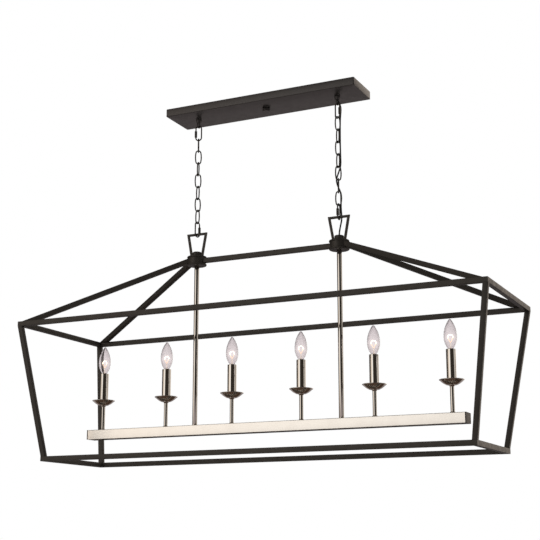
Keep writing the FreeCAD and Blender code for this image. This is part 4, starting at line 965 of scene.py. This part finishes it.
@dataclass
class SupplyCord:
    """Round cord down the right chain, cut into stretches where it is held.

    The route is across the right chain's axis in X and in Y, and height. A stretch has the body above it
    and the one below, its upper and lower end, and the heights where its bend starts and ends.
    """

    palette: Palette
    radius: float = 2.0
    crease: float = 50.0
    route: tuple[Triple, ...] = (
        (0.0, 0.0, -12.0), (0.0, 0.0, -21.5), (0.3, -0.6, -31.4), (5.4, 3.9, -41.8), (8.2, 5.0, -55.3),
        (6.4, 2.0, -82.0), (6.2, 0.9, -112.0), (6.0, 0.8, -146.0), (6.2, 1.1, -180.0), (7.4, 0.4, -210.8),
        (0.0, 0.6, -229.3), (-5.3, 1.0, -242.4), (-5.8, 1.5, -252.1), (-1.7, 2.8, -266.2), (4.2, 5.6, -281.0),
        (4.6, 4.6, -300.0), (4.3, 4.5, -322.0), (5.2, 6.5, -343.0), (5.0, 6.2, -354.0), (1.4, 1.8, -377.0),
        (0.0, 0.0, -393.0), (0.0, 0.2, -420.0), (0.0, -0.2, -470.0), (0.2, 0.1, -520.0), (0.0, 0.2, -570.0),
        (0.1, -0.2, -620.0), (0.0, 0.2, -670.0), (0.2, -0.1, -720.0), (0.0, 0.1, -770.0), (0.1, -0.1, -818.0),
        (0.0, 0.0, -864.0),
    )
    stretches: tuple[tuple[str, str, float, float, float, float], ...] = (
        ("canopy", "top_link_right", -12.0, -60.0, -30.0, -52.0),
        ("top_link_right", "chain_right", -60.0, -150.0, -66.0, -90.0),
        ("chain_right", "bottom_link_right", -150.0, -328.0, -300.0, -322.0),
        ("bottom_link_right", "cage", -328.0, -864.0, -334.0, -358.0),
    )

    def line(self) -> np.ndarray:
        """Points of the smooth spline that has the route as its control points.

        Returns:
            The points, one row each.
        """
        curve = bpy.data.curves.new("CordLine", "CURVE")
        curve.dimensions = "3D"
        spline = curve.splines.new("NURBS")
        spline.points.add(len(self.route) - 1)
        points = np.array(self.route) + np.array([CHAIN_X, 0, 0])
        spline.points.foreach_set("co", np.c_[points * MM, np.ones(len(points))].ravel())
        spline.order_u = 3
        spline.use_endpoint_u = True
        spline.resolution_u = 8
        carrier = bpy.data.objects.new("CordLine", curve)
        bpy.context.scene.collection.objects.link(carrier)
        mesh = bpy.data.meshes.new_from_object(carrier)
        found = np.zeros(len(mesh.vertices) * 3)
        mesh.vertices.foreach_get("co", found)
        bpy.data.objects.remove(carrier)
        bpy.data.curves.remove(curve)
        bpy.data.meshes.remove(mesh)
        return found.reshape(-1, 3) / MM

    def stretch(self, line: np.ndarray, high: float, low: float) -> Surface:
        """The tube between two heights; the line's points there, with one more at each height itself.

        Args:
            line: points of the cord's line.
            high: height of the upper end.
            low: height of the lower end.

        Returns:
            Vertices and faces.
        """
        drop = -line[:, 2]
        inside = (drop > -high + 0.01) & (drop < -low - 0.01)
        levels = np.concatenate([[-high], drop[inside], [-low]])
        path = grid(np.interp(levels, drop, line[:, 0]), np.interp(levels, drop, line[:, 1]), -levels)
        return tube(path, (0, 1, 0), self.radius, 20)

    def build(self) -> None:
        """Make the four stretches."""
        line = self.line()
        for number, (above, below, high, low, start, end) in enumerate(self.stretches, start=1):
            surface = self.stretch(line, high, low)
            piece = new_piece("SupplyCord_%d" % number, surface, self.palette.cord, self.crease)
            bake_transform(piece)
            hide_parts("supply_cord")


@dataclass
class Hanger:
    """Loop, collar and drum that hang the cage under one chain."""

    palette: Palette
    side: Side
    top: float = -343.0
    bar: float = 6.0
    half_top: float = 30.0
    half_foot: float = 18.6
    edge: float = 0.9
    drum_radius: float = 23.5
    flange_radius: float = 26.0
    flange: float = 4.6
    rounding: float = 2.2
    height: float = 25.0
    bore: float = 4.0
    socket: float = 6.4
    socket_depth: float = 10.0
    collar_radius: float = 12.0
    collar_height: float = 12.5

    def loop(self) -> Surface:
        """Square bar along three sides of a trapezoid.

        Each ring is the bar's outline in the plane that halves the bend, stretched across the bend by one
        over the cosine of half its angle, so the bar keeps its thickness. The feet's rings lie level.

        Returns:
            Vertices and faces.
        """
        foot = HUB_TOP
        slope = (self.half_top - self.half_foot) / (self.top - foot)
        width = self.bar * math.sqrt(1 + slope ** 2)
        inner = self.half_top - slope * self.bar - width
        low, head = self.half_foot - width, self.top - self.bar
        outer = np.array([(-self.half_foot, foot), (-self.half_top, self.top), (self.half_top, self.top),
                          (self.half_foot, foot)])
        inside = np.array([(-low, foot), (-inner, head), (inner, head), (low, foot)])
        stops = np.array([0, 0.03, 0.5, 0.95, 0.985, 1.0, 1.015, 1.05, 1.5, 1.95, 1.985, 2.0, 2.015, 2.05,
                          2.5, 2.97, 3.0])
        lower = np.minimum(stops.astype(int), 2)
        share = (stops - lower)[:, None]
        far = outer[lower] * (1 - share) + outer[lower + 1] * share
        near = inside[lower] * (1 - share) + inside[lower + 1] * share
        section = square_outline(self.bar, self.edge) / self.bar
        across = (section[:, 0] + 0.5)[None, :, None]
        flat = near[:, None] * (1 - across) + far[:, None] * across
        return skin(grid(flat[..., 0], section[:, 1] * self.bar, flat[..., 1]))

    def drum(self) -> Surface:
        """Drum turned from its outline: flange, waist, flange, the rod's socket and the wire way."""
        low = -self.height
        return lathe(rounded_outline([
            (self.bore, 0, 0.2), (self.flange_radius, 0, self.rounding),
            (self.flange_radius, -self.flange, 0.9), (self.drum_radius, -self.flange, 0.5),
            (self.drum_radius, low + self.flange, 0.5), (self.flange_radius, low + self.flange, 0.9),
            (self.flange_radius, low, self.rounding), (self.socket, low, 0.3),
            (self.socket, low + self.socket_depth, 0.1), (self.bore, low + self.socket_depth, 0.1),
        ]), 96)

    def collar(self) -> Surface:
        """Collar turned from its outline, with a rounded upper edge."""
        return lathe(rounded_outline([
            (self.bore, 0, 0.1), (self.collar_radius, 0, 0.2), (self.collar_radius, self.collar_height, 2.0),
            (self.bore, self.collar_height, 0.8),
        ]))

    def build(self) -> None:
        """Make the three pieces."""
        for node, surface, z in (("hanger_loop_", self.loop(), 0.0), ("hub_", self.drum(), HUB_TOP),
                                 ("hub_collar_", self.collar(), HUB_TOP)):
            stand_in(node + self.side.tag, moved(surface, self.side.x, 0, z), self.palette.bronze)


@dataclass
class Cage:
    """Tapered cage of square tube: ridge, four hips, two frames and four leaning posts.

    Each frame is given by its half length, its half width and the height of its top.
    """

    palette: Palette
    tube_side: float = 12.7
    rounding: float = 0.7
    hub_z: float = -419.5
    waist: float = 23.55
    bite: float = 0.05
    upper: Triple = (635.0, 194.0, -580.0)
    lower: Triple = (582.5, 141.5, -931.3)
    hip_landing: Pair = (608.0, 180.5)

    def section(self) -> np.ndarray:
        """Outline of the square tube."""
        return square_outline(self.tube_side, self.rounding)

    def rail(self, shape: Triple, along: np.ndarray, outward: np.ndarray) -> Surface:
        """Rail of a frame, whose ends are cut by the planes at 45 degrees through the frame's corners.

        Its direction picks one of the frame's half length and half width, and the outward one the other.

        Args:
            shape: the frame.
            along: direction of the rail.
            outward: direction out of the frame.

        Returns:
            Vertices and faces.
        """
        inset = self.tube_side / 2
        half, out = abs(along) @ shape, abs(outward) @ shape
        middle = outward * (out - inset) + Z_WAY * (shape[2] - inset)
        ends = tuple(CutPlane(tuple(along * half * sign + outward * out), tuple(along * sign - outward))
                     for sign in (-1, 1))
        return bar(self.section(), middle, (outward, Z_WAY), along, ends)

    def post(self, sign_x: int, sign_y: int) -> Surface:
        """Post whose level section is a square, sheared so that it leans from the upper corner inwards.

        Args:
            sign_x: end of the cage, -1 or 1.
            sign_y: side of the cage, -1 or 1.

        Returns:
            Vertices and faces.
        """
        inset = self.tube_side / 2
        stops = [np.array([sign_x * (half_x - inset), sign_y * (half_y - inset), z])
                 for half_x, half_y, z in ((*self.upper[:2], self.upper[2] - self.tube_side), self.lower)]
        ends = tuple(CutPlane(tuple(stop), (0, 0, 1)) for stop in stops)
        return bar(self.section(), stops[0], (X_WAY, Y_WAY), stops[1] - stops[0], ends)

    def hip(self, sign_x: int, sign_y: int) -> Surface:
        """Hip from the hub's waist to the corner of the upper frame, coped above and cut level below.

        Args:
            sign_x: end of the cage, -1 or 1.
            sign_y: side of the cage, -1 or 1.

        Returns:
            Vertices and faces.
        """
        hub = sign_x * CHAIN_X
        flat = np.array([sign_x * (self.hip_landing[0] - CHAIN_X), sign_y * self.hip_landing[1], 0.0])
        level = np.linalg.norm(flat)
        heading = flat / level
        root = self.waist - self.bite
        way = unit(heading + Z_WAY * (self.upper[2] - self.hub_z) / (level - root))
        start = np.array([hub, 0, self.hub_z]) + heading * root
        side = unit(np.cross(Z_WAY, heading))
        ends = (CutDrum(hub, self.waist), CutPlane((0, 0, self.upper[2]), (0, 0, 1)))
        return bar(self.section(), start, (side, np.cross(way, side)), way, ends)

    def ridge(self) -> Surface:
        """Ridge between the hubs, coped to both waists."""
        ends = (CutDrum(-CHAIN_X, self.waist), CutDrum(CHAIN_X, self.waist, leaves=False))
        return bar(self.section(), Z_WAY * self.hub_z, (Y_WAY, Z_WAY), X_WAY, ends)

    def build(self) -> None:
        """Make the tubes of the cage."""
        ways = (("front", X_WAY, -Y_WAY), ("rear", X_WAY, Y_WAY), ("left", Y_WAY, -X_WAY),
                ("right", Y_WAY, X_WAY))
        surfaces = {"%s_rail_%s" % (level, word): self.rail(shape, along, outward)
                    for level, shape in (("upper", self.upper), ("lower", self.lower))
                    for word, along, outward in ways}
        surfaces["corner_posts"] = together([self.post(*corner) for corner in CORNERS])
        surfaces["hip_bars"] = together([self.hip(*corner) for corner in CORNERS])
        surfaces["ridge_bar"] = self.ridge()
        for node, surface in surfaces.items():
            stand_in(node, surface, self.palette.bronze)


@dataclass
class LightBar:
    """Polished channel under two rods, with dark end caps, a cover and its screws."""

    palette: Palette
    height: float = 25.0
    half_width: float = 19.0
    half_length: float = 520.5
    wall: float = 1.2
    fold: float = 1.6
    rod_radius: float = 6.35
    rod_wall: float = 1.2
    rod_top: float = -422.0
    rod_below: float = 10.0

    def channel(self) -> Surface:
        """Channel section, rounded at its folds, drawn out along X between the end caps.

        Returns:
            Vertices and faces.
        """
        half, inner, low = self.half_width, self.half_width - self.wall, -self.height
        outline = rounded_outline([
            (-half, low, 0.2), (-inner, low, 0.2), (-inner, -self.wall, 0.4), (inner, -self.wall, 0.4),
            (inner, low, 0.2), (half, low, 0.2), (half, 0, self.fold), (-half, 0, self.fold),
        ])
        stations = np.linspace(-self.half_length, self.half_length, 25)[:, None]
        return skin(grid(stations, outline[:, 0], outline[:, 1] + BAR_TOP))

    def rod(self) -> Surface:
        """Rod turned from its outline."""
        low, inner = BAR_TOP - self.rod_below, self.rod_radius - self.rod_wall
        return lathe(rounded_outline([
            (inner, low, 0.1), (self.rod_radius, low, 0.3), (self.rod_radius, self.rod_top, 0.3),
            (inner, self.rod_top, 0.1),
        ], 2), 56)

    def build(self) -> None:
        """Make the bar and its rods, and dress the nodes in and under it."""
        stand_in("light_bar", self.channel(), self.palette.bar_nickel, slot=Slot.NICKEL)
        for side in Side:
            # The rods take the darker copy of the nickel, which paints shade on them.
            stand_in("rod_" + side.tag, moved(self.rod(), side.x), self.palette.rod_nickel, slot=Slot.NICKEL)
        dress(self.palette.bronze, "bar_end_caps", "bar_cover")
        dress(self.palette.steel, "cover_screws", "bar_lock_nuts")
        dress(self.palette.wire, "bar_wiring")


@dataclass
class Candles:
    """Six candles: stem, bobeche, sleeve, socket, and a bulb that comes out upwards."""

    palette: Palette
    count: int = 6
    pitch: float = 194.4
    seat: float = -789.0
    floor: float = -787.8
    stem_radius: float = 5.0
    stem_foot: float = 7.0
    stem_neck: float = 7.5
    stem_bore: float = 3.3
    stem_below: float = 10.0
    stem_above: float = 8.0
    floor_radius: float = 13.0
    rim_radius: float = 30.0
    depth: float = 13.0
    curve: float = 46.0
    sheet: float = 1.2
    bead: float = 0.95
    hole: float = 5.05
    flat: float = 9.0
    sleeve_top: float = -704.0
    sleeve_radius: float = 11.5
    sleeve_wall: float = 1.0
    base_top: float = -703.0
    base_radius: float = 5.9
    thread: float = 0.42
    thread_pitch: float = 2.54
    thread_low: float = -19.6
    thread_high: float = -3.4
    thread_fade: float = 1.6
    glass_belly: float = 29.0
    glass_height: float = 72.0
    glass_radius: float = 15.9
    glass_neck: float = 6.3
    glass_nose: float = 3.5
    glass_wall: float = 0.8
    glass_start: float = 0.985
    press_height: float = 16.0
    lead_half: float = 1.1
    lead_wire: float = 0.4
    filament_half: float = 5.6
    filament_bend: float = 25.0
    filament_coil: float = 0.8
    filament_turns: int = 17
    filament_wire: float = 0.3

    def places(self) -> np.ndarray:
        """X of each candle."""
        return (np.arange(self.count) - (self.count - 1) / 2) * self.pitch

    def row(self, surface: Surface) -> Surface:
        """One copy of a surface at each candle."""
        return together([moved(surface, x) for x in self.places()])

    def stem(self) -> Surface:
        """Stem turned from its outline: foot on the bar, slim tube, flared neck under the bobeche."""
        top, low, radius, bore = self.seat, BAR_TOP, self.stem_radius, self.stem_bore
        return lathe(rounded_outline([
            (bore, low - self.stem_below, 0.1), (radius, low - self.stem_below, 0.3), (radius, low, 0.05),
            (self.stem_foot, low, 0.3), (self.stem_foot, low + 1.6, 0.8), (radius, low + 3.4, 0.6),
            (radius, top - 4.2, 1.2), (self.stem_neck, top - 0.9, 0.5), (self.stem_neck, top, 0.2),
            (radius, top, 0.05), (radius, top + self.stem_above, 0.3), (bore, top + self.stem_above, 0.1),
        ], 4), 48)

    def bobeche(self) -> Surface:
        """Dish: flat floor, a side on a circle, a rolled rim, and the same line one sheet inside.

        The side's circle passes through the ends of floor and rim, so its centre lies on the middle of that
        chord's bisector, above and inwards.

        Returns:
            Vertices and faces.
        """
        run = self.rim_radius - self.floor_radius
        chord = math.hypot(run, self.depth)
        rise = math.sqrt(self.curve ** 2 - chord ** 2 / 4) / chord
        across = (self.floor_radius + self.rim_radius) / 2 - self.depth * rise
        centre = (across, self.seat + self.depth / 2 + run * rise)
        start = math.degrees(math.atan2(self.seat - centre[1], self.floor_radius - across))
        end = math.degrees(math.atan2(self.seat + self.depth - centre[1], self.rim_radius - across))
        return lathe(np.concatenate([
            [[self.hole, self.seat], [self.flat, self.seat]],
            arc_points(centre, self.curve, start, end - 1.2, 24)[:-1],
            arc_points((self.rim_radius - 1.0, self.seat + self.depth - self.bead), self.bead, -60, 200, 12),
            arc_points(centre, self.curve - self.sheet, end - 1.6, start, 24),
            [[self.flat, self.floor], [self.hole, self.floor]],
        ]), 96)

    def sleeve(self) -> Surface:
        """Sleeve turned from its outline, with eased ends."""
        outer, inner = self.sleeve_radius, self.sleeve_radius - self.sleeve_wall
        return lathe(rounded_outline([
            (inner, self.floor, 0.2), (outer, self.floor, 0.4), (outer, self.sleeve_top, 0.4),
            (inner, self.sleeve_top, 0.4),
        ], 3), 80)

    def screw_base(self) -> Surface:
        """Screw base: the wall's radius swells by a cosine of height less turn, once in a thread's pitch.

        The thread fades out at both ends. Above it the base flares to carry the glass.

        Returns:
            Vertices and faces.
        """
        low, high = self.thread_low, self.thread_high
        rows = np.linspace(low, high, 64)
        profile = np.concatenate([
            [[3.4, -20.9], [5.2, -20.3]],
            np.stack([0 * rows + self.base_radius, rows], axis=1),
            [[5.9, -2.9], [5.95, -2.3], [6.6, -2.15], [6.95, -1.9], [6.95, -1.0], [6.6, -0.4], [6.35, 0.0]],
        ])
        height = profile[:, 1:]
        angle = around(48)
        fade = np.clip(np.minimum(height - low, high - height) / self.thread_fade, 0, 1)
        wave = self.thread * (np.cos(2 * math.pi * height / self.thread_pitch - angle) - 1) / 2
        return skin(polar(profile[:, :1] + fade * wave, angle, height + self.base_top))

    def under(self, profile: tuple[Pair, ...], segments: int) -> Surface:
        """Turned solid whose profile gives radius and depth under the base's top."""
        points = [(radius, self.base_top - depth) for radius, depth in profile]
        return lathe(np.array(points), segments, False)

    def glass_line(self, inset: float) -> np.ndarray:
        """Bulb's outline one inset inside the outer one, from the neck to the tip.

        A shoulder arc rises from the neck to the belly, an ogive arc runs on from there, and a small
        circle closes the tip; all meet in line. An inner line starts a little above the outer one.

        Args:
            inset: distance inside the outer outline.

        Returns:
            Points of radius and height.
        """
        step = self.glass_radius - self.glass_neck
        shoulder = (step ** 2 + self.glass_belly ** 2) / (2 * step)
        rise = self.glass_height - self.glass_belly
        slim = self.glass_radius - self.glass_nose
        ogive = (self.glass_radius ** 2 + rise ** 2 - 2 * rise * self.glass_nose) / (2 * slim)
        meet = math.degrees(math.atan2(rise - self.glass_nose, ogive - self.glass_radius))
        first = math.degrees(math.asin(self.glass_belly / shoulder))
        if inset > 0:
            lift = math.degrees(math.asin(min(1.0, self.glass_belly / (shoulder - inset))))
            first = min(lift, first * self.glass_start)
        neck = arc_points((self.glass_radius - shoulder, self.glass_belly), shoulder - inset, -first, 0, 22)
        body = arc_points((self.glass_radius - ogive, self.glass_belly), ogive - inset, 0, meet, 26)
        tip = arc_points((0, self.glass_height - self.glass_nose), self.glass_nose - inset, meet, 88, 8)
        return np.concatenate([neck, body[1:], tip[1:]])

    def envelope(self) -> Surface:
        """Bulb glass: its outline, and the same line one wall further in.

        Returns:
            Vertices and faces.
        """
        inner = self.glass_line(self.glass_wall)[::-1]
        profile = np.concatenate([self.glass_line(0), inner, [[inner[-1, 0], 0.0]]])
        return moved(lathe(profile, 80), z=self.base_top)

    def stem_press(self) -> Surface:
        """Glass mount inside the bulb: a flared foot, a tube, and a flattened press at its end.

        Returns:
            Vertices and faces.
        """
        height = np.array([0.15, 0.6, 2.0, 5.0, 9.0, 12.0, 15.0, self.press_height])[:, None]
        radius = np.array([3.6, 3.0, 2.2, 1.9, 1.8, 1.9, 1.7, 0.9])[:, None]
        flat = np.array([1, 1, 1, 1, 0.9, 0.55, 0.42, 0.42])[:, None]
        points = polar(radius, around(32), height + self.base_top)
        points[..., 1] *= flat
        return skin(points)

    def leads(self) -> Surface:
        """Two lead wires that leave the press close together and lean out to the filament's ends.

        Returns:
            Vertices and faces.
        """
        height = np.array([15.2, self.press_height, 18.0, 21.5, self.filament_bend])
        x = np.interp(height, height[[0, 1, 4]], [1.0, self.lead_half, self.filament_half])
        return together([tube(grid(sign * x, 0.0, height + self.base_top), (0, 1, 0), self.lead_wire, 10)
                         for sign in (-1, 1)])

    def filament(self) -> Surface:
        """Coiled filament between the leads.

        Its centre line is the arc that the leads' tops run into: its radius is the half spread over the
        cosine of their lean, and it turns by half a circle and twice the lean. The wire runs round that
        line in a helix whose radius shrinks towards both ends.

        Returns:
            Vertices and faces.
        """
        lean = math.atan2(self.filament_half - self.lead_half, self.filament_bend - self.press_height)
        radius = self.filament_half / math.cos(lean)
        middle = self.filament_bend + radius * math.sin(lean) + self.base_top
        share = np.linspace(0, 1, 520)
        angle = -lean + share * (math.pi + 2 * lean)
        phase = 2 * math.pi * self.filament_turns * share
        swell = self.filament_coil * np.clip(np.minimum(share, 1 - share) * 12, 0.1, 1)
        far = radius + swell * np.cos(phase)
        path = grid(far * np.cos(angle), swell * np.sin(phase), middle + far * np.sin(angle))
        return tube(path, grid(np.cos(angle), 0.3, np.sin(angle)), self.filament_wire, 6)

    def build(self) -> None:
        """Make the candles and the bulbs on their bodies."""
        finish = self.palette
        # The stems take the darker copy of the nickel, which paints shade on them.
        for node, surface, metal in (("candle_stems", self.stem(), finish.rod_nickel),
                                     ("bobeches", self.bobeche(), finish.nickel),
                                     ("candle_sleeves", self.sleeve(), finish.nickel)):
            stand_in(node, self.row(surface), metal, slot=Slot.NICKEL)
        dress(finish.socket, "candle_sockets")
        cone = self.under(((5.0, 20.3), (3.9, 21.2), (2.7, 22.3), (2.4, 22.6)), 40)
        button = self.under(((2.45, 22.4), (2.2, 23.2), (1.5, 23.65), (0.4, 23.8)), 32)
        pieces = (
            ("BulbBase", self.screw_base(), finish.brass, Slot.SHELL, "bulb_base_"),
            ("BulbInsulator", cone, finish.vitrite, Slot.SHELL, None),
            ("BulbContact", button, finish.solder, Slot.SHELL, None),
            ("BulbMount", self.stem_press(), finish.mount, Slot.GLASS, None),
            ("BulbLeads", self.leads(), finish.leads, Slot.SHELL, None),
            ("BulbFilament", self.filament(), finish.filament, Slot.SHELL, None),
            ("BulbGlass", self.envelope(), finish.glass, Slot.GLASS, "bulb_glass_"),
        )
        for number, x in enumerate(self.places(), start=1):
            for name, surface, look, slot, node in pieces:
                nodes = (node + str(number),) if node else ()
                put("%s_%d" % (name, number), moved(surface, x), look, "bulb_%d" % number, slot, *nodes)


@dataclass(frozen=True)
class SoftBox:
    """Softbox that gloss mirrors: the heading of its middle and its half width in degrees, and its colour."""

    heading: float
    half: float
    color: Triple


@dataclass
class Studio:
    """Camera at the photograph's place, soft lamps, a pale floor and a white surround. Lengths in metres."""

    camera_place: Triple = (1.3218, -2.7381, -1.1629)
    yaw: float = 25.58
    pitch: float = 12.96
    lens: float = 80.48
    floor_z: float = -2.6
    floor_half: float = 6.0
    aim: Triple = (0.0, 0.0, -0.7)
    white: float = 1.0
    ambient: float = 0.55
    boxes: tuple[SoftBox, ...] = (
        SoftBox(-145.0, 14.0, (0.5, 0.45, 0.4)), SoftBox(-113.0, 15.0, (1.2, 1.19, 1.17)),
        SoftBox(-131.0, 8.0, (1.2, 1.06, 0.93)), SoftBox(-101.0, 5.0, (1.22, 1.17, 1.12)),
        SoftBox(20.0, 19.0, (0.68, 0.65, 0.61)), SoftBox(76.0, 13.0, (1.4, 1.22, 1.06)),
    )
    box_edge: Pair = (6.0, -4.0)
    box_top: Pair = (0.72, 0.42)
    box_foot: Pair = (-0.26, -0.08)
    room: Triple = (0.035, 0.03, 0.025)
    under: Triple = (0.42, 0.37, 0.37)
    floor_gloss: Triple = (0.078, 0.05, 0.036)

    def camera(self) -> None:
        """Camera of the photograph: it looks along its yaw, tipped up by its pitch."""
        yaw, pitch = math.radians(self.yaw), math.radians(self.pitch)
        ahead = Vector((-math.sin(yaw) * math.cos(pitch), math.cos(yaw) * math.cos(pitch), math.sin(pitch)))
        right = Vector((math.cos(yaw), math.sin(yaw), 0))
        data = bpy.data.cameras.new("PhotoCamera")
        data.sensor_width = 36.0
        data.lens = self.lens
        data.clip_end = 60.0
        camera = bpy.data.objects.new("PhotoCamera", data)
        turn = Matrix((right, right.cross(ahead), -ahead)).transposed().to_4x4()
        camera.matrix_world = Matrix.Translation(self.camera_place) @ turn
        bpy.context.scene.collection.objects.link(camera)
        bpy.context.scene.camera = camera

    def world(self) -> None:
        """White for the camera and for glass; for gloss, softboxes round a dim room; else even light."""
        world = bpy.data.worlds.new("Studio")
        world.use_nodes = True
        bpy.context.scene.world = world
        pen = NodePen(world.node_tree)
        pen.tree.nodes.clear()
        where = pen.add("ShaderNodeTexCoord").outputs["Generated"]
        way = pen.add("ShaderNodeSeparateXYZ", where).outputs
        heading = pen.math("ARCTAN2", way["Y"], way["X"])
        surround = self.room
        for box in self.boxes:
            far = pen.math("ABSOLUTE", pen.math("SUBTRACT", heading, math.radians(box.heading)))
            fade = [math.radians(box.half + edge) for edge in self.box_edge]
            surround = pen.mix(pen.span(far, *fade, kind="SMOOTHSTEP"), surround, box.color)
        surround = pen.mix(pen.span(way["Z"], *self.box_top, kind="SMOOTHSTEP"), self.room, surround)
        surround = pen.mix(pen.span(way["Z"], *self.box_foot, kind="SMOOTHSTEP"), self.under, surround)
        mirrored, even, plain = (
            pen.add("ShaderNodeBackground", Color=color, Strength=strength).outputs[0]
            for color, strength in ((surround, 1.0), (WHITE, self.ambient), (WHITE, self.white)))
        light = pen.add("ShaderNodeLightPath").outputs
        unseen = pen.choose(light["Is Glossy Ray"], even, mirrored)
        pen.add("ShaderNodeOutputWorld", Surface=pen.choose(pen.seen(light), unseen, plain))

    def floor(self) -> None:
        """Square of floor paper."""
        half = self.floor_half
        mesh = bpy.data.meshes.new("StudioFloor")
        mesh.from_pydata([(x * half, y * half, self.floor_z) for x, y in CORNERS], [], [(0, 1, 2, 3)])
        mesh.materials.append(Paper("FloorPaper", self.floor_gloss, self.under).material())
        floor = bpy.data.objects.new("StudioFloor", mesh)
        bpy.context.scene.collection.objects.link(floor)

    def lamp(self, name: str, place: Triple, size: Pair, power: float) -> None:
        """Rectangular soft lamp that faces the middle of the cage.

        Args:
            name: its name.
            place: its middle.
            size: its two sides.
            power: its power in watts.
        """
        data = bpy.data.lights.new(name, "AREA")
        data.shape = "RECTANGLE"
        data.size, data.size_y = size
        data.energy = power
        lamp = bpy.data.objects.new(name, data)
        way = Vector(self.aim) - Vector(place)
        lamp.matrix_world = Matrix.Translation(place) @ way.to_track_quat("-Z", "Y").to_matrix().to_4x4()
        lamp.visible_camera = False
        lamp.visible_glossy = False
        lamp.visible_transmission = False
        bpy.context.scene.collection.objects.link(lamp)

    def build(self) -> None:
        """Set the scene's view, camera, lamps, floor and world."""
        bpy.context.scene.view_settings.view_transform = "Standard"
        self.camera()
        self.world()
        self.floor()
        self.lamp("SoftboxFrontLeft", (-1.6, -3.2, 0.2), (1.6, 2.0), 60.0)
        self.lamp("SoftboxRight", (3.4, 0.9, -0.3), (1.2, 2.0), 60.0)


def main() -> None:
    """Build the pendant and its studio in order."""
    logging.basicConfig(level=logging.INFO, format="%(name)s %(message)s")
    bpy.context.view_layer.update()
    palette = Palette()
    for part in (
        Studio(),
        SupplyCord(palette),
        Canopy(palette),
        ChainRun(palette, Side.LEFT, 192.0, (-64.4, 30.6, -44.4, 39.6, -34.4, 57.6, -24.4), 74.6),
        ChainRun(palette, Side.RIGHT, -24.0, (61.6, -43.4, 60.6, -39.9, 47.6, 115.6, 3.6), -89.4),
        Hanger(palette, Side.LEFT),
        Hanger(palette, Side.RIGHT),
        Cage(palette),
        LightBar(palette),
        Candles(palette),
    ):
        LOG.info("building %s", type(part).__name__)
        part.build()


if __name__ == "__main__":
    main()
